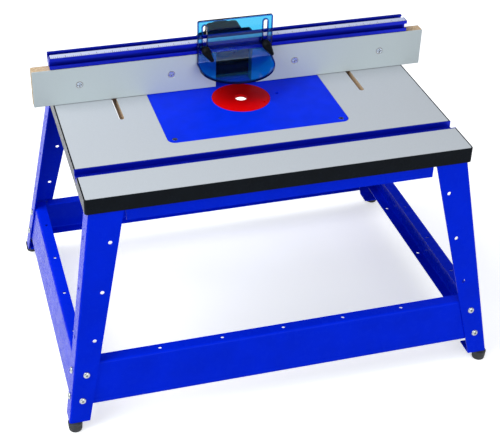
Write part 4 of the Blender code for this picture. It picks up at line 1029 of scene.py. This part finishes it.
for side, sx in sides_of:
    low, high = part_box(f"facing_{side}")
    panel = wall_stock(rounded_rectangle(high.x - low.x, high.z - low.z, 0.0006,
                                         ((low.x + high.x) / 2, (low.z + high.z) / 2), 3), [], low.y,
                       high.y, 0.0004)
    sinks = []
    for x in bolt_x:
        sinks.append(turned([(0, 0.004), (FACING_HEAD_R + 0.0043, 0.004), (FACING_HEAD_R + 0.0003, 0),
                             (FACING_HEAD_R + 0.0003, -0.0004),
                             (BOLT_HOLE_R, -0.0004 - FACING_HEAD_R + BOLT_R), (BOLT_HOLE_R, -0.025),
                             (0, -0.025)], (sx * x, low.y, bolt_z), (0, -1, 0), 32))
    settle(f"facing_board_{side}", carve(panel, [merged(sinks)]), facing_grey, f"facing_{side}",
           [f"facing_{side}"])
    for number in (1, 2):
        bolt_low, bolt_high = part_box(f"facing_bolt_{side}_{number}")
        screw = flat_head_screw(FACING_HEAD_R - HEAD_GAP, BOLT_R, bolt_high.y - bolt_low.y, 28, 1.5)
        stand = (Matrix.Translation((sx * bolt_x[number - 1], bolt_low.y, bolt_z))
                 @ Vector((0, -1, 0)).to_track_quat("Z", "Y").to_matrix().to_4x4())
        bmesh.ops.transform(screw, matrix=stand, verts=screw.verts)
        settle(f"facing_screw_{side}_{number}", screw, bright_zinc, f"facing_{side}",
               [f"facing_bolt_{side}_{number}"], crease=40)

# ---------------------------------------------------------------- bit guard
# The guard is a sheet of clear blue polycarbonate, bent into an upright plate and a sloping visor
# with a round front. Raised borders run round its two slots, and it slides up and down on two bolts.
guard_low, guard_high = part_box("guard")
GUARD_HALF = 0.064
GUARD_THICK = 0.003
GUARD_BACK = guard_high.y
GUARD_FRONT = GUARD_BACK - GUARD_THICK
GUARD_FOLD = table_z + 0.050
VISOR_Y = guard_low.y
VISOR_Z = table_z + 0.040
VISOR_SHOULDER = 0.016
GUARD_SLOT_X = 0.0515
GUARD_SLOT_W = 0.007
GUARD_SLOT = (table_z + 0.071, table_z + 0.116)
BORDER = 0.002
BORDER_H = 0.001
BEAD = 0.0022
SLOT_MID = sum(GUARD_SLOT) / 2
SLOT_TALL = GUARD_SLOT[1] - GUARD_SLOT[0]
VISOR_ROUND_Y = GUARD_FRONT - VISOR_SHOULDER
VISOR_REACH = VISOR_ROUND_Y - VISOR_Y


def make_clear(name, shaded_visor_tint, lit_upright_tint, shaded_edge_tint):
    """Clear tinted polycarbonate with faint scuffs. Its tint carries painted shade: deeper low on the visor,
    and deepest in its rims and in its slots' borders.
    """
    made, tree, shader, place = finish(name, lit_upright_tint, 0.04)
    set_inputs(shader, {"Transmission Weight": 1.0, "IOR": 1.49, "Specular IOR Level": 0.2})
    x, y, z = axes_of(tree, place)

    def maths(*step):
        return calc(tree, *step)

    def distance(first, second):
        return maths("SQRT", maths("ADD", maths("POWER", first, 2.0), maths("POWER", second, 2.0)))

    across = maths("ABSOLUTE", x)
    ahead = maths("MAXIMUM", maths("DIVIDE", maths("SUBTRACT", VISOR_ROUND_Y, y), VISOR_REACH), 0.0)
    outward = distance(maths("DIVIDE", across, GUARD_HALF), ahead)
    rim = maths("MAXIMUM", maths("GREATER_THAN", outward, 1.0 - BEAD / GUARD_HALF),
               maths("GREATER_THAN", z, guard_high.z - BEAD))
    off_middle = maths("ABSOLUTE", maths("SUBTRACT", z, SLOT_MID))
    past_end = maths("MAXIMUM", maths("SUBTRACT", off_middle, SLOT_TALL / 2 - GUARD_SLOT_W / 2), 0.0)
    from_slot = distance(maths("SUBTRACT", across, GUARD_SLOT_X), past_end)
    border = maths("MULTIPLY", maths("LESS_THAN", from_slot, GUARD_SLOT_W / 2 + BORDER),
                  maths("GREATER_THAN", z, GUARD_SLOT[0] - 0.006))
    # Painted shade: the tint runs from the lit upright colour to a deeper colour low on the visor, and to the
    # deepest colour along the rims and slot borders.
    height = maths("MULTIPLY", maths("DIVIDE", maths("SUBTRACT", z, GUARD_FOLD - 0.006), 0.03), 0.5)
    height = maths("MINIMUM", maths("MAXIMUM", height, 0.0), 0.5)
    ramp = tone(tree, shader, maths("MAXIMUM", height, maths("MAXIMUM", rim, border)), shaded_visor_tint,
                shaded_edge_tint, 0.0, 1.0)
    ramp.color_ramp.elements.new(0.5).color = (*lit_upright_tint, 1.0)
    polish(tree, shader, grain(tree, place, 0.003, (1.0, 6.0, 1.0), 4.0), 0.02, 0.07)
    relief(tree, shader, grain(tree, place, 0.02), 0.00003)
    return made


slope = (GUARD_FOLD - VISOR_Z) / (GUARD_FRONT - VISOR_Y)


def visor_z(y):
    """Height of the visor's upper face."""
    return GUARD_FOLD - slope * (GUARD_BACK - y)


def visor_plan(inset, spill, back):
    """The guard's outline from above, set in from its rim, with its straight ends run on to the back."""
    half = GUARD_HALF - inset
    front = [(half * math.cos(math.pi * i / 48),
              VISOR_ROUND_Y - (VISOR_REACH - inset) * math.sin(math.pi * i / 48)) for i in range(49)]
    return [(half + spill, back), *front, (-half - spill, back)]


fold = rounded_section([(GUARD_BACK, guard_high.z), (GUARD_FRONT, guard_high.z),
                        (GUARD_FRONT, visor_z(GUARD_FRONT)), (VISOR_Y, visor_z(VISOR_Y)),
                        (VISOR_Y, visor_z(VISOR_Y) - GUARD_THICK),
                        (GUARD_BACK, visor_z(GUARD_BACK) - GUARD_THICK)],
                       [0.0006, 0.0006, 0.0025, 0.0006, 0.0006, 0.005], 5)
sheet_blank = drawn(fold, -GUARD_HALF, GUARD_HALF, ease=0.0004)
# The visor's and the rims' tints are painted shade; the upright's is the lit tint.
clear_blue = make_clear("clear_blue_polycarbonate", (0.004, 0.29, 0.95), (0.07, 0.51, 0.80),
                        (0.0, 0.07, 0.42))
plan = visor_plan(0.0, 0.002, GUARD_BACK + 0.005)
plan_stock = flat_stock(plan, [], guard_low.z - 0.01, guard_high.z + 0.01, 0.0001)
FRAME_TALL = 0.16
frame_mid = guard_high.z - FRAME_TALL / 2
front_view = wall_stock(rounded_rectangle(2 * GUARD_HALF, FRAME_TALL, 0.004, (0, frame_mid)), [],
                        VISOR_Y - 0.01, GUARD_BACK + 0.01)
visor = carve(carve(sheet_blank, [plan_stock], "INTERSECT"), [front_view], "INTERSECT")
bead_span = (GUARD_FRONT - BORDER_H, GUARD_FRONT + GUARD_THICK / 2)
borders = [wall_stock(round_slot((sx * GUARD_SLOT_X, SLOT_MID), GUARD_SLOT_W + 2 * BORDER,
                                 SLOT_TALL + 2 * BORDER), [], *bead_span, 0.0003) for sx in (-1, 1)]
bead_front = wall_stock(rounded_rectangle(2 * GUARD_HALF - 0.0002, FRAME_TALL, 0.004,
                                          (0, frame_mid - 0.0001)),
                        [rounded_rectangle(2 * (GUARD_HALF - BEAD), FRAME_TALL - 2 * BEAD, 0.003,
                                           (0, frame_mid))], *bead_span, 0.0003)
below = block((-0.1, 0.1), (VISOR_Y - 0.01, GUARD_BACK + 0.01), (guard_high.z - 0.2, GUARD_FOLD - 0.001))
inner_plan = visor_plan(BEAD, 0.0, GUARD_BACK + 0.004)
outer_plan = [(x * 0.9985, y + 0.0001) for x, y in plan]
plan_ring = flat_stock(outer_plan, [inner_plan], guard_low.z - 0.02, guard_high.z + 0.02, 0.0001)
lip_back = GUARD_FRONT + 0.001
lip = drawn([(lip_back, visor_z(lip_back) - 0.0015), (lip_back, visor_z(lip_back) + BORDER_H),
             (VISOR_Y - 0.001, visor_z(VISOR_Y - 0.001) + BORDER_H),
             (VISOR_Y - 0.001, visor_z(VISOR_Y - 0.001) - 0.0015)], -GUARD_HALF - 0.001,
            GUARD_HALF + 0.001, ease=0.0001)
rims = [carve(bead_front, [below]), carve(lip, [plan_ring], "INTERSECT")]
slots = [wall_stock(round_slot((sx * GUARD_SLOT_X, SLOT_MID), GUARD_SLOT_W, SLOT_TALL), [],
                    GUARD_FRONT - 0.01, GUARD_BACK + 0.01) for sx in (-1, 1)]
settle("clear_guard", carve(carve(visor, [merged(borders), *rims], "UNION"), [merged(slots)]), clear_blue,
       "guard", ["guard"])

# ---------------------------------------------------------------- guard bolts and levers
# Each slot of the guard is clamped by a T-bolt, whose head is in the rail, and a black lever shaped
# like a faceted teardrop.
LEVER_REACH = 0.022
LEVER_R = 0.0072
LEVER_TIP_R = 0.003
LEVER_DEPTH = 0.015
LEVER_TURN = math.radians(30 - 90)
satin_black = make_moulded("satin_black_plastic", (0.005, 0.006, 0.007), 0.36)


def teardrop(inset, hub_sides=10, tip_sides=4):
    """Outline of the lever, set in from its widest."""
    hub, tip_r = LEVER_R - inset, max(0.0006, LEVER_TIP_R - inset)
    away = LEVER_REACH - LEVER_TIP_R
    spread = math.acos((LEVER_R - LEVER_TIP_R) / away)
    tip = (away * math.cos(LEVER_TURN), away * math.sin(LEVER_TURN))
    points = [(hub * math.cos(a), hub * math.sin(a))
              for a in (LEVER_TURN + spread + (2 * math.pi - 2 * spread) * i / hub_sides
                        for i in range(hub_sides + 1))]
    points += [(tip[0] + tip_r * math.cos(a), tip[1] + tip_r * math.sin(a)) for a in
               (LEVER_TURN - spread + 2 * spread * i / tip_sides for i in range(tip_sides + 1))]
    return points


for side, sx in sides_of:
    low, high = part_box(f"guard_bolt_{side}")
    middle = ((low.x + high.x) / 2, (low.z + high.z) / 2)
    head_r, reach = (high.x - low.x) / 2, high.y - low.y
    bolt = turned([(0, 0), (head_r - 0.0006, 0), (head_r, 0.0005), (head_r, 0.0035), (head_r - 0.0005, 0.004),
                   (BOLT_R, 0.004), (BOLT_R, reach - 0.0004), (BOLT_R - 0.0004, reach), (0, reach)],
                  (middle[0], high.y, middle[1]), (0, -1, 0), 28)
    settle(f"guard_t_bolt_{side}", bolt, zinc, "fence", [f"guard_bolt_{side}"])
    low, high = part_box(f"guard_lever_{side}")
    back = high.y
    rings = [[(middle[0] + u, back - depth, middle[1] + v) for u, v in teardrop(inset)]
             for depth, inset in ((0.0, 0.0018), (0.0022, 0.0016), (0.0045, 0.0), (0.0115, 0.0),
                                  (LEVER_DEPTH, 0.0026))]
    lever = stacked(rings)
    bore = drill((middle[0], back, middle[1]), (0, 1, 0), BOLT_HOLE_R, LEVER_DEPTH - 0.003)
    pip = drill((middle[0], back - LEVER_DEPTH, middle[1]), (0, 1, 0), 0.0022, 0.0010)
    settle(f"lever_{side}", carve(lever, [bore, pip]), satin_black, f"guard_lever_{side}",
           [f"guard_lever_{side}"], ease=0.0004, crease=20)

# ---------------------------------------------------------------- dust hood
# A black moulded hood closes the back of the fence's opening. A round port for a vacuum hose stands
# out of its rear, with a bead round its end.
hood_low, hood_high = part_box("dust_port")
HOOD_HALF = 0.050
HOOD_REAR = 0.150
HOOD_WALL = 0.004
COLLAR_HALF = 0.029
COLLAR_Z = (table_z + 0.012, table_z + 0.081)
COLLAR_REAR = 0.168
PORT_R = 0.0285
PORT_Z = sum(COLLAR_Z) / 2 + 0.003
hood_top = table_z + 0.0765
HOOD_CORNER_R = 0.0155
step_y, step_z = RAIL_REAR + GAP, RAIL_BOTTOM - GAP
hood_section = rounded_section([(hood_low.y, hood_low.z), (hood_low.y, step_z), (step_y, step_z),
                                (step_y, hood_top), (HOOD_REAR, hood_top), (HOOD_REAR, hood_low.z)],
                               [0.0005, 0.0005, 0, 0.003, 0.008, 0.0005], 5)
shoulders_z = hood_top - 0.1
round_shoulders = wall_stock(
    rounded_rectangle(2 * HOOD_HALF + 0.02, 0.24, 0.001, (0, shoulders_z)),
    [rounded_rectangle(2 * HOOD_HALF + 0.0008, 0.2004, HOOD_CORNER_R, (0, shoulders_z))],
    hood_low.y - 0.01, HOOD_REAR + 0.01)
hood = carve(drawn(hood_section, -HOOD_HALF, HOOD_HALF, ease=0.0015), [round_shoulders])
port_reach = hood_high.y - COLLAR_REAR
collar = wall_stock(rounded_rectangle(2 * COLLAR_HALF, COLLAR_Z[1] - COLLAR_Z[0], 0.008,
                                      (0, sum(COLLAR_Z) / 2)), [], HOOD_REAR - 0.008, COLLAR_REAR, 0.001)
port = turned([(0, -0.002), (PORT_R - 0.0008, -0.002), (PORT_R - 0.0008, port_reach - 0.006),
               (PORT_R, port_reach - 0.005), (PORT_R, port_reach - 0.0015), (PORT_R - 0.001, port_reach),
               (0, port_reach)], (0, COLLAR_REAR, PORT_Z), (0, 1, 0), 64)
ribs = merged([block((x - 0.001, x + 0.001), (HOOD_REAR - 0.001, HOOD_REAR + 0.006),
                     (hood_low.z + 0.001, hood_low.z + 0.056)) for x in (-0.040, 0.040)])
cavity = block((-HOOD_HALF + HOOD_WALL, HOOD_HALF - HOOD_WALL), (hood_low.y - 0.005, HOOD_REAR - HOOD_WALL),
               (hood_low.z + HOOD_WALL, step_z - HOOD_WALL))
bore = turned([(0, -HOOD_WALL - 0.003), (PORT_R - 0.003, -HOOD_WALL - 0.003), (PORT_R - 0.003, 0.04),
               (0, 0.04)], (0, HOOD_REAR, PORT_Z), (0, 1, 0), 64)
settle("moulded_hood", carve(carve(hood, [collar, port, ribs], "UNION"), [cavity, bore]), satin_black,
       "fence", ["dust_port"])

# ---------------------------------------------------------------- clamp bolts and hand knobs
# A flanged bolt comes up through each slot in the board, and a large lobed knob draws the fence's
# foot down on the table. Smaller knobs of the same kind hold the facings.


def hand_knob(place, direction, radius, height):
    """Five-lobed knob on a round hub, with a dished top and a blind bore."""
    def lobes(angle, level):
        return 0.92 + 0.08 * math.cos(5 * angle) if level > height * 0.3 else 1.0
    profile = [(0, 0), (radius * 0.54, 0), (radius * 0.58, height * 0.03), (radius * 0.58, height * 0.3),
               (radius * 0.86, height * 0.36), (radius * 0.96, height * 0.42), (radius, height * 0.52),
               (radius, height * 0.82), (radius * 0.96, height * 0.93), (radius * 0.86, height),
               (radius * 0.56, height), (radius * 0.5, height * 0.96), (0, height * 0.96)]
    knob = turned(profile, place, direction, 60, lobes)
    bore = turned([(0, -0.004), (BOLT_HOLE_R, -0.004), (BOLT_HOLE_R, height * 0.85), (0, height * 0.85)],
                  place, direction, 24)
    return carve(knob, [bore])


for side, sx in sides_of:
    low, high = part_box(f"fence_clamp_bolt_{side}")
    flange_r = (high.x - low.x) / 2
    tall = high.z - low.z
    bolt = turned([(0, 0), (0.0052, 0), (0.0058, 0.0005), (0.0058, 0.004), (flange_r - 0.0003, 0.004),
                   (flange_r, 0.0043), (flange_r, 0.0052), (flange_r - 0.0003, 0.0055), (BOLT_R, 0.0055),
                   (BOLT_R, tall - 0.0004), (BOLT_R - 0.0004, tall), (0, tall)],
                  (sx * CLAMP_X, CLAMP_Y, low.z), (0, 0, 1), 28)
    settle(f"flanged_bolt_{side}", bolt, zinc, "fence", [f"fence_clamp_bolt_{side}"])
    low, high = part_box(f"fence_knob_{side}")
    settle(f"clamp_knob_{side}",
           hand_knob((sx * CLAMP_X, CLAMP_Y, low.z), (0, 0, 1), 0.0155, high.z - low.z), satin_black,
           f"fence_knob_{side}", [f"fence_knob_{side}"])
    for number in (1, 2):
        low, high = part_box(f"facing_knob_{side}_{number}")
        knob = hand_knob((sx * bolt_x[number - 1], low.y, bolt_z), (0, 1, 0), 0.0125, high.y - low.y)
        settle(f"facing_hand_knob_{side}_{number}", knob, satin_black, f"facing_knob_{side}_{number}",
               [f"facing_knob_{side}_{number}"])
